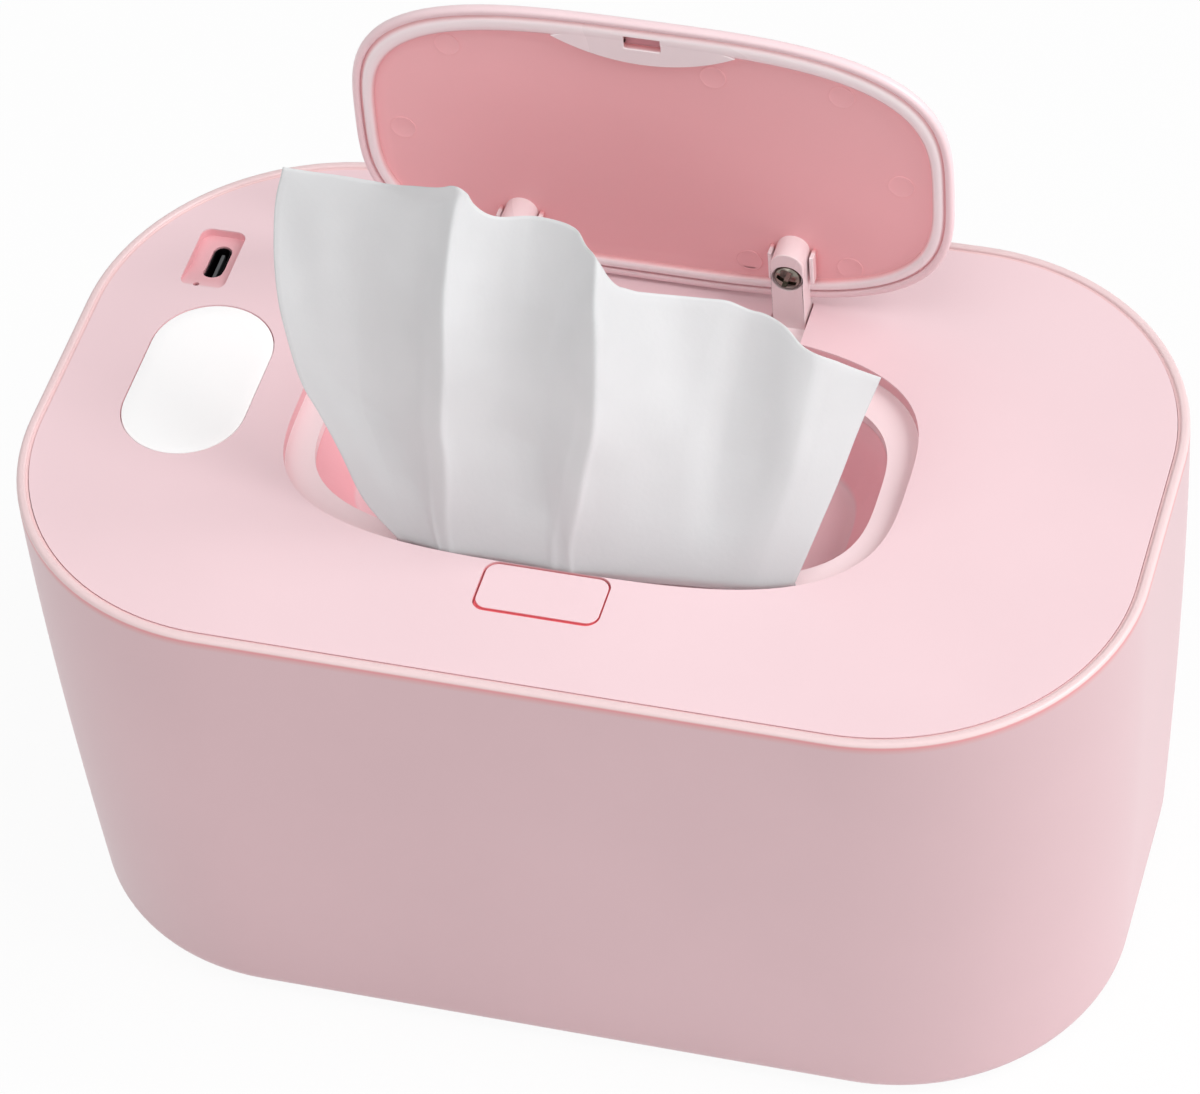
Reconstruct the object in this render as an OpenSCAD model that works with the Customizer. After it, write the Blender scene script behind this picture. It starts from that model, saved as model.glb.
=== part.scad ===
// Wipe warmer: a lined tub with a lift-off cover that holds the heater, the battery and the flip-up lid.
// Right is +X, back is +Y, up is +Z. The origin is the middle of the feet's resting plane. Millimetres.

/* [Body] */
// Width of the body at the rim
body_w = 208; // [206:1:214]
// Depth of the body at the rim
body_d = 126; // [125:1:130]
// Height of the rim above the table
body_h = 102; // [99:1:112]
// Radius of the body's upright corners at the rim
corner_r = 47; // [46:0.5:48]
// How far the wall leans in from rim to base
wall_lean = 4.2; // [3.4:0.2:4.6]
// Thickness of the outer wall and floor
wall = 2.2; // [2:0.1:2.4]
// Thickness of the thin rim round the cover
rim_w = 1.7; // [1.5:0.1:1.8]
// Width of the inner shelf that carries the inner tub
shelf_w = 2.2; // [1.8:0.1:2.4]
// Rounding of the lower outer edge
base_round = 4; // [3:0.5:5]

/* [Feet] */
// Diameter of each rubber foot
foot_d = 12; // [10:1:14]
// How far each foot stands below the base
foot_stand = 1.2; // [1:0.1:1.6]
// Distance of the feet from the middle, side to side
foot_x = 70; // [62:1:74]
// Distance of the feet from the middle, front to back
foot_y = 30; // [26:1:34]

/* [Inner tub] */
// Space left between the outer wall and the inner tub at the top
tub_space = 3.6; // [3.4:0.1:3.8]
// Thickness of the inner tub
tub_t = 1.6; // [1.4:0.1:1.8]
// Height of the inner tub's underside above the table
tub_h = 9.6; // [9:0.1:10.5]
// Thickness of the foam sleeve round the inner tub
foam_t = 2.4; // [2:0.1:2.6]

/* [Wipes] */
// Width of the folded stack of wipes
stack_w = 154; // [140:1:156]
// Depth of the folded stack of wipes
stack_d = 84; // [76:1:84]
// Height of the folded stack of wipes
stack_h = 50; // [20:1:52]
// Width of the pulled-up wipe above the cover
wipe_w = 108; // [80:1:112]
// Height of the pulled-up wipe above the cover
wipe_up = 58; // [40:1:60]
// Thickness of the bunched wipe
wipe_t = 2.2; // [1.6:0.1:2.4]

/* [Cover] */
// Width of the seam between rim and cover
seam = 0.5; // [0.4:0.1:0.6]
// How far the cover's top lies below the rim
plate_drop = 0.4; // [0.2:0.1:0.6]
// Thickness of the cover's top plate
plate_t = 2.2; // [2:0.1:2.4]
// Height of the skirt round the cover plate, from its top
skirt_h = 4.4; // [4:0.1:4.8]
// Thickness of the skirt
skirt_t = 1.8; // [1.6:0.1:2]
// Thickness of the seal under the skirt
gasket_t = 0.6; // [0.4:0.1:0.8]
// Thickness of the walls and floor of the cover's underside housing
base_t = 1.8; // [1.6:0.1:2]
// Depth of the housing's floor below the cover's top
base_depth = 19.6; // [19.4:0.1:20.4]
// Room round the housing inside the inner tub
base_gap = 1.6; // [1.4:0.1:1.8]

/* [Opening and well] */
// Width of the recess that takes the lid
open_w = 114; // [112:1:115]
// Width of the cover in front of the recess, from the body's front edge
front_land = 29.8; // [29.4:0.1:30.2]
// Width of the cover behind the recess, from the body's rear edge
back_land = 30.8; // [30.4:0.1:31.2]
// Squareness of the soft oval outlines, where 2 is an ellipse
oval_power = 3.2; // [3:0.1:3.4]
// Depth of the recess from the cover's top to the ledge
recess_depth = 2.8; // [2.7:0.1:3]
// Thickness of the ledge
ledge_t = 2; // [1.8:0.1:2]
// Thickness of the wall round the recess
tray_t = 1.2; // [1:0.1:1.2]
// Width of the hole inside the ledge
well_w = 103.6; // [102:0.2:104]
// Width of the ledge at the front and back of the recess
ledge_w = 6.5; // [6.4:0.1:6.8]
// How far the well sits in front of the recess's middle
well_shift = 0.7; // [0.5:0.1:0.9]
// Height of the well from its floor up to the ledge
well_h = 13.2; // [12:0.2:13.4]
// How far the well's wall leans in towards the floor
well_lean = 6; // [4:0.5:7]
// Thickness of the well's wall and floor
well_t = 1.4; // [1.2:0.1:1.6]
// Width of the gate's hole in the well's floor
gate_w = 66; // [60:1:68]
// Depth of the gate's hole, front to back
gate_d = 22; // [20:1:24]
// Distance of the slit in front of the well's middle
slit_front = 5.8; // [4:0.2:6.4]
// Width of the slit in the gate
slit_w = 50; // [44:1:52]
// Gap of the slit in the gate
slit_gap = 3; // [2.8:0.1:3.4]

/* [Lid] */
// Gap between the lid and the recess, at the front and sides
lid_gap = 0.6; // [0.5:0.05:0.7]
// Gap between the lid and the recess, at the back
lid_back = 2.8; // [2.6:0.1:3.4]
// Thickness of the lid at its edge
lid_t = 2.6; // [2.4:0.1:2.6]
// Thickness of the lid's outer skin
lid_skin = 1; // [0.8:0.1:1]
// Width of the plain rim round the lid's inner bead
lid_rim = 1.5; // [1.2:0.1:1.6]
// Width from the lid's edge to the sunk panel, at the sides
ring_side = 4.9; // [4.5:0.1:5]
// Width from the lid's edge to the sunk panel, at the front
ring_front = 5.4; // [5:0.1:5.6]
// Width from the lid's edge to the sunk panel, at the back
ring_back = 4; // [3.8:0.1:4.4]
// Depth of the panel inside the ring
panel_sunk = 0.8; // [0.6:0.05:0.8]
// Width of the crescent tab at the lid's front
tab_w = 34.4; // [30:0.2:36]
// Reach of the crescent tab beyond the ring
tab_reach = 4.2; // [3.6:0.1:4.6]
// Angle of the open lid from its closed place
lid_angle = 91; // [85:1:92]

/* [Hinge] */
// Distance of the hinge axis behind the recess
hinge_back = 4.6; // [4.5:0.1:4.8]
// Depth of the hinge axis below the cover's top
hinge_drop = 6.6; // [6.4:0.1:6.7]
// Distance of each hinge arm from the middle
arm_x = 25.9; // [24:0.1:27]
// Width of each hinge arm
arm_w = 6.2; // [5.8:0.1:6.4]
// Thickness of each hinge arm
arm_t = 5; // [4.8:0.1:5.1]
// Length of each hinge arm from the axis to its end
arm_len = 22.6; // [21:0.1:23.4]
// Radius of the knuckle round the pin
knuckle_r = 4.6; // [4.4:0.1:4.7]
// Diameter of the hinge pin
pin_d = 3; // [2.8:0.1:3]
// Running clearance round the hinge pin, on the radius
pin_play = 0.05; // [0.03:0.01:0.08]
// Thickness of the lugs that hold the pin
lug_t = 2.6; // [2.4:0.1:3]
// Room beside each arm for its spring
spring_room = 5.6; // [5.4:0.1:6]
// Head diameter of the screws in the hinge arms
head_d = 5.2; // [5:0.1:5.4]

/* [Button and latch] */
// Width of the release button's hole
button_w = 23.4; // [22:0.2:24]
// Depth of the release button's hole, front to back
button_d = 12; // [11.6:0.2:12.2]
// Corner radius of the button's hole
button_r = 2.6; // [2.2:0.1:3]
// Gap round the button
button_gap = 0.3; // [0.25:0.05:0.35]
// Travel of the button
button_travel = 1.5; // [1.3:0.1:1.5]
// Travel of the latch for a full press
latch_travel = 0.9; // [0.8:0.05:0.9]
// Width of the latch hook
hook_w = 5.6; // [5:0.1:6]
// Distance of the latch hook behind the front of the recess
hook_back = 4.8; // [4.6:0.1:5]
// Reach of the ledge's crescent shelf round the hook
shelf_reach = 3.8; // [3.6:0.1:4]

/* [Window and socket] */
// Width of the window
window_w = 23.6; // [22:0.2:24]
// How much longer the window is than the straight stretch of the body's side
window_over = 7.2; // [5:0.2:8]
// Distance of the window's middle outside the middle of the space beside the well
window_out = 2.8; // [2.4:0.1:3.2]
// Thickness of the flange under the window lens
lens_t = 0.8; // [0.6:0.1:0.9]
// Distance of the socket's middle from the side of the body
socket_in = 20.3; // [20:0.1:20.6]
// Distance of the socket's middle behind the window
socket_gap = 12.2; // [11.8:0.1:12.4]
// Width of the plug opening
plug_w = 8.34; // [8.34:0.01:8.4]
// Thickness of the plug opening
plug_t = 2.56; // [2.56:0.01:2.6]
// Depth of the scooped recess round the socket
scoop_depth = 1.8; // [1.6:0.1:2]

/* [Electronics] */
// Room beside the circuit board, to the housing's wall and to the well
board_room = 5; // [4.8:0.1:6]
// Thickness of the circuit board
board_t = 1.6; // [1.4:0.1:1.6]
// Depth of the board's top below the cover's top
board_depth = 10; // [9.8:0.1:10.4]
// Room beside the battery, to the housing's wall and to the well
cell_room = 5.5; // [5.4:0.1:7]
// How much longer the battery is than the straight stretch of the body's side
cell_over = 24; // [18:1:24]
// Thickness of the battery
cell_t = 9; // [7:0.5:9.5]
// Width of the heating plate
heater_w = 140; // [130:1:142]
// Depth of the heating plate, front to back
heater_d = 72; // [66:1:73]
// Thickness of the heating plate
heater_t = 1; // [0.8:0.1:1.2]

/* [Hidden] */

$fn = 64;
pink = [0.93, 0.76, 0.78];
deep_pink = [0.86, 0.62, 0.65];
white = [0.96, 0.96, 0.96];
steel = [0.72, 0.73, 0.75];
eps = 0.01;
seat = 0.02;
corner_x = body_w / 2 - corner_r;
corner_y = body_d / 2 - corner_r;
cover_z = body_h - plate_drop;
plate_r = corner_r - rim_w - seam;
rest_z = cover_z - skirt_h - gasket_t;
flange_t = 1.6;
shelf_z = rest_z - flange_t;
tub_r = corner_r - wall - tub_space;
tub_lean = wall_lean;
housing_r = tub_r - tub_t - base_gap;
housing_z = cover_z - base_depth;
housing_drop = 2.4;
open_d = body_d - front_land - back_land;
open_y = (front_land - back_land) / 2;
well_d = open_d - 2 * ledge_w;
well_y = open_y - well_shift;
slit_y = well_y - slit_front;
lid_d = open_d - lid_gap - lid_back;
hinge_y = open_y + open_d / 2 + hinge_back;
well_flange = 3.4;
side_in = well_w / 2 + well_flange;
side_out = corner_x + housing_r - base_t;
side_x = (side_in + side_out) / 2;
ledge_z = cover_z - recess_depth;
well_z = ledge_z - well_h;
lid_a = open_w / 2 - lid_gap;
lid_b = lid_d / 2;
lid_y = open_y - open_d / 2 + lid_gap + lid_b;
panel_z = cover_z - lid_t + panel_sunk;
hinge_z = cover_z - hinge_drop;
arm_end_y = hinge_y - arm_len;
screw_y = arm_end_y + 5.8;
front_y = open_y - open_d / 2;
button_y = front_y - button_d / 2;
cap_t = 2;
button_flange = 1;
window_x = -side_x - window_out;
window_l = 2 * corner_y + window_over;
window_end = window_l / 2;
socket_y = window_end + socket_gap;
socket_x = socket_in - body_w / 2;
board_z = cover_z - board_depth;
board_x = -side_x;
board_w = side_out - side_in - 2 * board_room;
cell_x = side_x;
cell_w = side_out - side_in - 2 * cell_room;
cell_l = 2 * corner_y + cell_over;
board_front = -window_end - 12.4;
board_back = socket_y + 7.2;
cell_z = housing_z + base_t + seat;
heater_z = housing_z - housing_drop;
film_t = 0.3;
hook_y = front_y + hook_back;
slider_z = ledge_z - ledge_t - 0.6;
slider_t = 1.6;
stem_y = button_y - 1.2;
stem_d = 3;
stem_x = 3;
stem_z = slider_z - 3.4;
press_slope = latch_travel / button_travel;
stem_front = stem_y - 3.2;
slider_front = 4.2;
bracket_y = -corner_y - housing_r + base_t;
bracket_z = slider_z - 9.4;
post_x = corner_x + 13;
post_y = corner_y + 28;
cover_screw_at = [[post_x, post_y], [-post_x, post_y], [post_x, -post_y], [-post_x, -post_y],
    [arm_x + 8.1, hinge_y + 10.2], [-arm_x - 8.1, hinge_y + 10.2]];
heater_screw_x = heater_w / 2 - 8;
heater_screw_y = heater_d / 2 - 7;
heater_screw_at = [[heater_screw_x, heater_screw_y], [-heater_screw_x, heater_screw_y],
    [heater_screw_x, -heater_screw_y], [-heater_screw_x, -heater_screw_y]];
board_side = board_w / 2 - 4;
board_screw_at = [[board_x + board_side, window_end + 4.4], [board_x + board_side, -window_end - 6.4],
    [board_x - board_side, -window_end - 2.4]];
sensor_x = -gate_w / 2 - 19;
sensor_y = 16 - heater_d / 2;
fuse_y = bracket_y + 9.2;
lead_y = hinge_y + 3.2;
bracket_screw_at = [[17.5, bracket_y + 6.7], [-17.5, bracket_y + 6.7]];

function arc(cx, cy, r, from, to, step) = [for (a = [from:step:to]) [cx + r * cos(a), cy + r * sin(a)]];
function side(v) = v < 0 ? -1 : 1;
function soft_x(t, a) = a * side(cos(t)) * pow(abs(cos(t)), 2 / oval_power);
function soft_y(t, b) = b * side(sin(t)) * pow(abs(sin(t)), 2 / oval_power);
function lean(z) = wall_lean * pow(1 - z / body_h, 1.7);

// Soft oval of half-width a and half-depth b
module soft(a, b) {
    polygon([for (t = [2.5:5:360]) [soft_x(t, a), soft_y(t, b)]]);
}

// Outline of the body's shape whose corners have radius r about the shared corner centres
module outline(r) {
    for (x = [-corner_x, corner_x], y = [-corner_y, corner_y])
        translate([x, y]) circle(r);
    square([2 * (corner_x + r), 2 * corner_y], center = true);
    square([2 * corner_x, 2 * (corner_y + r)], center = true);
}

// Rectangle of width w and depth d with corner radius r
module round_rect(w, d, r) {
    for (x = [r - w / 2, w / 2 - r], y = [r - d / 2, d / 2 - r])
        translate([x, y]) circle(r);
    square([w, d - 2 * r], center = true);
    square([w - 2 * r, d], center = true);
}

module slab(z, t) {
    translate([0, 0, z]) linear_extrude(t) children();
}

// Runs the child profile round the body: its x is the distance out from the corner centres, its y is height
module around() {
    for (k = [0:3])
        translate([side(cos(90 * k + 45)) * corner_x, side(sin(90 * k + 45)) * corner_y, 0])
            rotate([0, 0, 90 * k]) rotate_extrude(angle = 90) children();
    for (m = [0, 1])
        mirror([0, m, 0]) translate([-corner_x, corner_y, 0])
            rotate([90, 0, 90]) linear_extrude(2 * corner_x) children();
    for (m = [0, 1])
        mirror([m, 0, 0]) translate([corner_x, corner_y, 0])
            rotate([90, 0, 0]) linear_extrude(2 * corner_y) children();
}

// Fills the middle of a shape made by around()
module middle(z, t) {
    translate([-corner_x, -corner_y, z]) cube([2 * corner_x, 2 * corner_y, t]);
}

// Round wire of radius r along a list of points, none of whose stretches runs along the direction up
module wire(path, r, up) {
    sides = 6;
    n = len(path) - 1;
    points = [for (i = [0:n]) for (j = [0:sides - 1])
        let (d = path[min(i + 1, n)] - path[max(i - 1, 0)], e = cross(d, up) / norm(cross(d, up)),
            f = cross(d, e) / norm(cross(d, e)), u = 360 * j / sides)
        path[i] + r * (cos(u) * e + sin(u) * f)];
    faces = concat([[for (j = [0:sides - 1]) j]], [[for (j = [sides - 1:-1:0]) n * sides + j]],
        [for (i = [0:n - 1]) for (j = [0:sides - 1])
            let (k = (j + 1) % sides)
            [i * sides + j, (i + 1) * sides + j, (i + 1) * sides + k, i * sides + k]]);
    polyhedron(points = points, faces = faces);
}

// Points of a coil round the Z axis, 16 to a turn
function coil(r, turns, length) = [for (i = [0:turns * 16])
    [r * cos(22.5 * i), r * sin(22.5 * i), length * i / (turns * 16)]];

// Compression spring between z = 0 and z = length
module spring(r, thick, turns, length) {
    translate([0, 0, thick / 2]) wire(coil(r, turns, length - thick), thick / 2, [0, 0, 1]);
}

// Pan-head screw standing on z = 0 with its shank upwards
module screw(head, height, shank, length) {
    difference() {
        rotate_extrude() polygon(concat([[0, 0], [head / 2, 0]],
            arc(head / 2 - height, -0.35 * height, height * 0.65 + 0.35 * height, -20, -80, -15),
            [[0, -height]]));
        for (a = [0, 90])
            rotate([0, 0, a]) translate([-head * 0.3, -head * 0.07, -height - eps])
                cube([head * 0.6, head * 0.14, height * 0.55]);
    }
    translate([0, 0, -eps]) cylinder(r = shank / 2, h = length + eps);
}

// Body and tub
module body_shell() color(pink) {
    top = [[corner_r - rim_w, body_h], [corner_r - rim_w, shelf_z], [corner_r - rim_w - shelf_w, shelf_z]];
    inner = [[corner_r - rim_w - shelf_w, shelf_z - 1], [corner_r - wall - lean(90), shelf_z - 3],
        [corner_r - wall - lean(30), 30], [corner_r - wall - lean(foot_stand) - 1, foot_stand + wall]];
    under = [[0, foot_stand + wall], [0, foot_stand]];
    low_r = corner_r - lean(foot_stand + base_round) - base_round;
    low = arc(low_r, foot_stand + base_round, base_round, -90, -6, 12);
    outer = [for (k = [0:6]) let (z = foot_stand + base_round + k * (body_h - 14 - foot_stand) / 6)
        [corner_r - lean(z), z]];
    crown = arc(corner_r - rim_w + 0.1, body_h - rim_w + 0.1, rim_w - 0.1, 0, 90, 15);
    difference() {
        union() {
            around() polygon(concat(top, inner, under, low, outer, crown));
            middle(foot_stand, wall);
        }
        for (x = [-foot_x, foot_x], y = [-foot_y, foot_y])
            translate([x, y, 0]) cylinder(r = foot_d / 2 + 0.1, h = foot_stand + 1);
    }
}

module rubber_feet() color([0.85, 0.85, 0.84]) {
    for (x = [-foot_x, foot_x], y = [-foot_y, foot_y])
        translate([x, y, 0]) rotate_extrude()
            polygon([[0, 0], [foot_d / 2 - 0.8, 0], [foot_d / 2, 0.6], [foot_d / 2, foot_stand + 1 - seat],
                [0, foot_stand + 1 - seat]]);
}

module foam_sleeve() color([0.93, 0.93, 0.9]) {
    low = tub_h + 2;
    r_top = tub_r + 0.3;
    r_low = tub_r - tub_lean + 0.3;
    around() polygon([[r_low, low], [r_low + foam_t, low], [r_top + foam_t, shelf_z - 5], [r_top, shelf_z - 5]]);
}

module foam_base() color([0.93, 0.93, 0.9]) {
    low = foot_stand + wall + seat;
    slab(low, tub_h - seat - low) outline(tub_r - tub_lean - 1);
}

module inner_tub() color(white) {
    r_low = tub_r - tub_lean;
    around() polygon([[0, tub_h], [r_low, tub_h], [tub_r, shelf_z + seat],
        [corner_r - rim_w - 0.25, shelf_z + seat], [corner_r - rim_w - 0.25, rest_z],
        [tub_r - tub_t, rest_z], [r_low - tub_t, tub_h + tub_t], [0, tub_h + tub_t]]);
    middle(tub_h, tub_t);
}

module wipe_stack() color(white) {
    slab(tub_h + tub_t + seat, stack_h) round_rect(stack_w, stack_d, 8);
}

// Cover
module cover_gasket() color(deep_pink) {
    slab(rest_z + seat, gasket_t - 2 * seat) difference() {
        outline(plate_r - 0.2);
        outline(plate_r - skirt_t + 0.1);
    }
}

// Recess round the socket, which slopes from its front end down to its full depth
module socket_scoop() {
    run = 15.6;
    intersection() {
        translate([socket_x - 5, socket_y - 8.4, cover_z]) rotate([90, 0, 90])
            linear_extrude(9)
                polygon([[0, 1], [0, -0.1], [run * 0.45, -scoop_depth], [run, -scoop_depth], [run, 1]]);
        translate([socket_x - 0.5, socket_y - 8.4 + run / 2, 0])
            slab(cover_z - scoop_depth - 1, scoop_depth + 3) round_rect(8.8, run, 2);
    }
}

module hinge_lugs() {
    inner = arm_x - arm_w / 2 - spring_room - lug_t;
    outer = arm_x + arm_w / 2 + 0.4;
    for (m = [0, 1], x = [inner, outer])
        mirror([m, 0, 0]) translate([x, 0, 0]) rotate([90, 0, 90]) linear_extrude(lug_t) {
            translate([hinge_y - 3.6, hinge_z]) square([7.2, hinge_drop - plate_t + 0.5]);
            translate([hinge_y, hinge_z]) circle(3.6);
        }
}

// Disc whose rear edge reaches the given y in the middle, as the crescent tab and its shelf do
module crescent(y) {
    r = (tab_w * tab_w / 4 + tab_reach * tab_reach) / (2 * tab_reach);
    translate([0, y - r]) circle(r);
}

module posts(at, r, z) {
    for (p = at)
        translate([p[0], p[1], z]) cylinder(r = r, h = cover_z - plate_t - z + 0.5);
}

module cover_plate() color(pink) difference() {
    union() {
        slab(cover_z - plate_t, plate_t) outline(plate_r);
        slab(cover_z - skirt_h, skirt_h - plate_t + 0.5) difference() {
            outline(plate_r);
            outline(plate_r - skirt_t);
        }
        translate([0, open_y, 0]) slab(ledge_z - ledge_t, recess_depth + ledge_t - 0.5)
            soft(open_w / 2 + tray_t, open_d / 2 + tray_t);
        slab(cover_z - scoop_depth - 1.4, scoop_depth) intersection() {
            translate([socket_x, socket_y]) round_rect(12, 15, 2);
            outline(housing_r - base_t - 0.3);
        }
        hinge_lugs();
        posts(cover_screw_at, 3, housing_z + base_t + seat);
        posts(board_screw_at, 2.4, board_z + seat);
        posts(bracket_screw_at, 2.6, slider_z - slider_t + seat);
    }
    translate([0, open_y, 0]) slab(ledge_z, recess_depth + 1) soft(open_w / 2, open_d / 2);
    slab(ledge_z - ledge_t - 1, 6) difference() {
        translate([0, well_y]) soft(well_w / 2, well_d / 2);
        crescent(well_y - well_d / 2 + shelf_reach);
    }
    for (x = [-arm_x, arm_x])
        translate([x - arm_w / 2 - 0.4, arm_end_y, ledge_z - ledge_t - 1])
            cube([arm_w + 0.8, arm_len + hinge_drop - 1.4, recess_depth + ledge_t + 2]);
    translate([0, button_y, 0]) {
        slab(cover_z - cap_t - button_travel - 0.6, 6) round_rect(button_w, button_d, button_r);
        slab(ledge_z - ledge_t - 1, 8) translate([0, -tray_t]) round_rect(button_w, button_d, button_r);
    }
    translate([window_x, 0, 0]) slab(cover_z - plate_t - 1, plate_t + 2)
        round_rect(window_w, window_l, window_w / 2 - 0.1);
    socket_scoop();
    translate([socket_x, socket_y, 0]) slab(board_z, board_depth)
        round_rect(plug_t + 1.1, plug_w + 1.1, plug_t / 2 + 0.5);
    translate([socket_x - 1.6, socket_y - 7.6, cover_z - 4]) cylinder(r = 0.55, h = 5);
    translate([-arm_x - 10, hinge_y, hinge_z]) rotate([0, 90, 0])
        translate([0, 0, -10]) cylinder(r = pin_d / 2 + pin_play, h = 2 * arm_x + 40);
    translate([-hook_w / 2 - 0.5, hook_y - latch_travel - 0.4, ledge_z - ledge_t - 1])
        cube([hook_w + 1, latch_travel + 2.6, ledge_t + 2]);
    for (p = cover_screw_at)
        translate([p[0], p[1], housing_z]) cylinder(r = 1.2, h = 10);
    for (p = board_screw_at)
        translate([p[0], p[1], board_z - 1]) cylinder(r = 0.8, h = 6);
    for (p = bracket_screw_at)
        translate([p[0], p[1], slider_z - slider_t - 1]) cylinder(r = 0.8, h = 4);
}

module cover_base() color(white) difference() {
    union() {
        slab(housing_z, base_t) outline(housing_r);
        slab(heater_z, base_depth - plate_t - seat + housing_drop) difference() {
            outline(housing_r);
            outline(housing_r - base_t);
        }
        slab(heater_z, housing_drop + 0.5) difference() {
            round_rect(heater_w + 3.2, heater_d + 3.2, 13.6);
            round_rect(heater_w + 0.4, heater_d + 0.4, 12.2);
        }
        translate([cell_x, 0, 0]) slab(housing_z + base_t - 0.5, 4) difference() {
            round_rect(cell_w + 2.6, cell_l + 2.6, 3);
            round_rect(cell_w + 0.4, cell_l + 0.4, 2);
        }
    }
    translate([0, well_y, 0]) slab(housing_z - 1, base_t + 2) soft(gate_w / 2 + 4, gate_d / 2 + 5);
    for (p = cover_screw_at) {
        translate([p[0], p[1], housing_z - 1]) cylinder(r = 1.5, h = base_t + 2);
        translate([p[0], p[1], housing_z - 1]) cylinder(r = 2.7, h = 1.8);
    }
    for (p = heater_screw_at)
        translate([p[0], p[1], housing_z - 1]) cylinder(r = 0.8, h = base_t + 2);
    translate([sensor_x, sensor_y, housing_z - 1]) cylinder(r = 3.2, h = base_t + 2);
}

module cover_screws() color(steel) {
    for (p = cover_screw_at)
        translate([p[0], p[1], housing_z + 0.8]) screw(4.8, 1.6, 2.3, 8);
}

// Tapered shape of the well, d wider than its inside all round
module well_shape(d, low, high) {
    a = well_w / 2 - 0.3 + d;
    b = well_d / 2 - 0.3 + d;
    translate([0, well_y, 0]) hull() {
        slab(well_z + low, eps) soft(a - well_lean, b - well_lean);
        slab(ledge_z - ledge_t + high - eps, eps) soft(a, b);
    }
}

module well_insert() color(deep_pink) {
    flange_z = ledge_z - ledge_t - 1.5;
    pocket_y = well_y - well_d / 2 + shelf_reach;
    difference() {
        union() {
            well_shape(well_t, -well_t, 0);
            translate([0, well_y, 0]) slab(flange_z, 1.5 - seat)
                soft(well_w / 2 + well_flange, well_d / 2 + well_flange);
        }
        difference() {
            well_shape(0, 0, 0.01);
            slab(slider_z - slider_t - 2.6, 8) intersection() {
                crescent(pocket_y);
                square([18, 80], center = true);
            }
        }
        translate([0, well_y, 0]) slab(ledge_z - ledge_t - 0.3, 2) difference() {
            soft(well_w / 2, well_d / 2);
            translate([0, -well_y]) crescent(pocket_y);
        }
        translate([0, well_y, 0]) slab(well_z - well_t - 1, well_t + 2) soft(gate_w / 2, gate_d / 2);
        for (x = [-arm_x, arm_x])
            translate([x - arm_w / 2 - 0.5, arm_end_y - 1, hinge_z - arm_t + 2.4])
                cube([arm_w + 1, arm_len + 8, 10]);
        translate([-7.4, pocket_y - 1.4 - 20, slider_z - slider_t - 1.2]) cube([14.8, 20, 10]);
        translate([-22, pocket_y - 32, slider_z - slider_t - 2.6]) cube([44, 22, 10]);
    }
}

module gate() color([0.95, 0.88, 0.89]) difference() {
    translate([0, well_y, 0]) union() {
        slab(well_z + 0.05, 1) soft(gate_w / 2 + 3, gate_d / 2 + 3);
        slab(well_z - well_t - 0.9, well_t + 1.2) soft(gate_w / 2 - 0.1, gate_d / 2 - 0.1);
        slab(well_z - well_t - 0.95, 0.9) soft(gate_w / 2 + 2, gate_d / 2 + 2);
    }
    translate([0, well_y, 0]) slab(well_z - well_t - 2, well_t + 2.2) soft(gate_w / 2 - 2, gate_d / 2 - 2);
    translate([0, slit_y, 0]) slab(well_z - 3, 6) round_rect(slit_w, slit_gap, slit_gap / 2 - 0.05);
}

// Window, board and socket
module display_lens() color(white) {
    translate([window_x, 0, 0]) {
        slab(cover_z - plate_t - seat - lens_t, plate_t + lens_t - 0.03)
            round_rect(window_w - 0.3, window_l - 0.3, window_w / 2 - 0.3);
        slab(cover_z - plate_t - seat - lens_t, lens_t)
            round_rect(window_w + 1.8, window_l + 2, window_w / 2 + 0.8);
    }
}

module display_module() color([0.9, 0.9, 0.88]) {
    translate([window_x, 0, 0]) slab(board_z + seat, board_depth - plate_t - lens_t - 0.4)
        round_rect(window_w - 6.6, window_l - 7.2, 1);
}

module main_board() color([0.12, 0.36, 0.2]) difference() {
    slab(board_z - board_t, board_t) intersection() {
        translate([board_x - board_w / 2, board_front]) square([board_w, board_back - board_front]);
        outline(housing_r - base_t - 0.5);
    }
    for (p = board_screw_at)
        translate([p[0], p[1], board_z - board_t - 1]) cylinder(r = 1.1, h = board_t + 2);
}

module board_screws() color(steel) {
    for (p = board_screw_at)
        translate([p[0], p[1], board_z - board_t]) screw(3.6, 1.2, 1.5, 5);
}

module controller_chip() color([0.12, 0.12, 0.13]) {
    translate([board_x, 4, board_z - board_t - 1.6 - seat]) linear_extrude(1.6) square(9, center = true);
}

module power_coil() color([0.3, 0.3, 0.32]) {
    translate([board_x + 4, 5.6 - window_end, board_z - board_t - 4 - seat]) linear_extrude(4)
        round_rect(7, 7, 1.5);
}

module usb_shell() color(steel) {
    top = cover_z - scoop_depth - 0.2;
    translate([socket_x, socket_y, 0]) difference() {
        slab(board_z + seat, top - board_z) round_rect(plug_t + 0.6, plug_w + 0.6, plug_t / 2 + 0.28);
        slab(board_z + 1, top) round_rect(plug_t, plug_w, plug_t / 2 - 0.02);
    }
}

module usb_tongue() color([0.16, 0.17, 0.18]) {
    translate([socket_x, socket_y, 0]) slab(board_z + 1 + seat, cover_z - scoop_depth - board_z - 2)
        square([0.7, 6.7], center = true);
}

module charge_light() color([0.55, 0.2, 0.22]) {
    translate([socket_x - 1.6, socket_y - 7.6, board_z + seat])
        cylinder(r = 0.5, h = board_depth - 0.7);
}

// Battery and heater
module battery() color([0.75, 0.76, 0.8]) {
    translate([cell_x, 0, 0]) slab(cell_z, cell_t) round_rect(cell_w, cell_l, 1.5);
}

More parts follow.
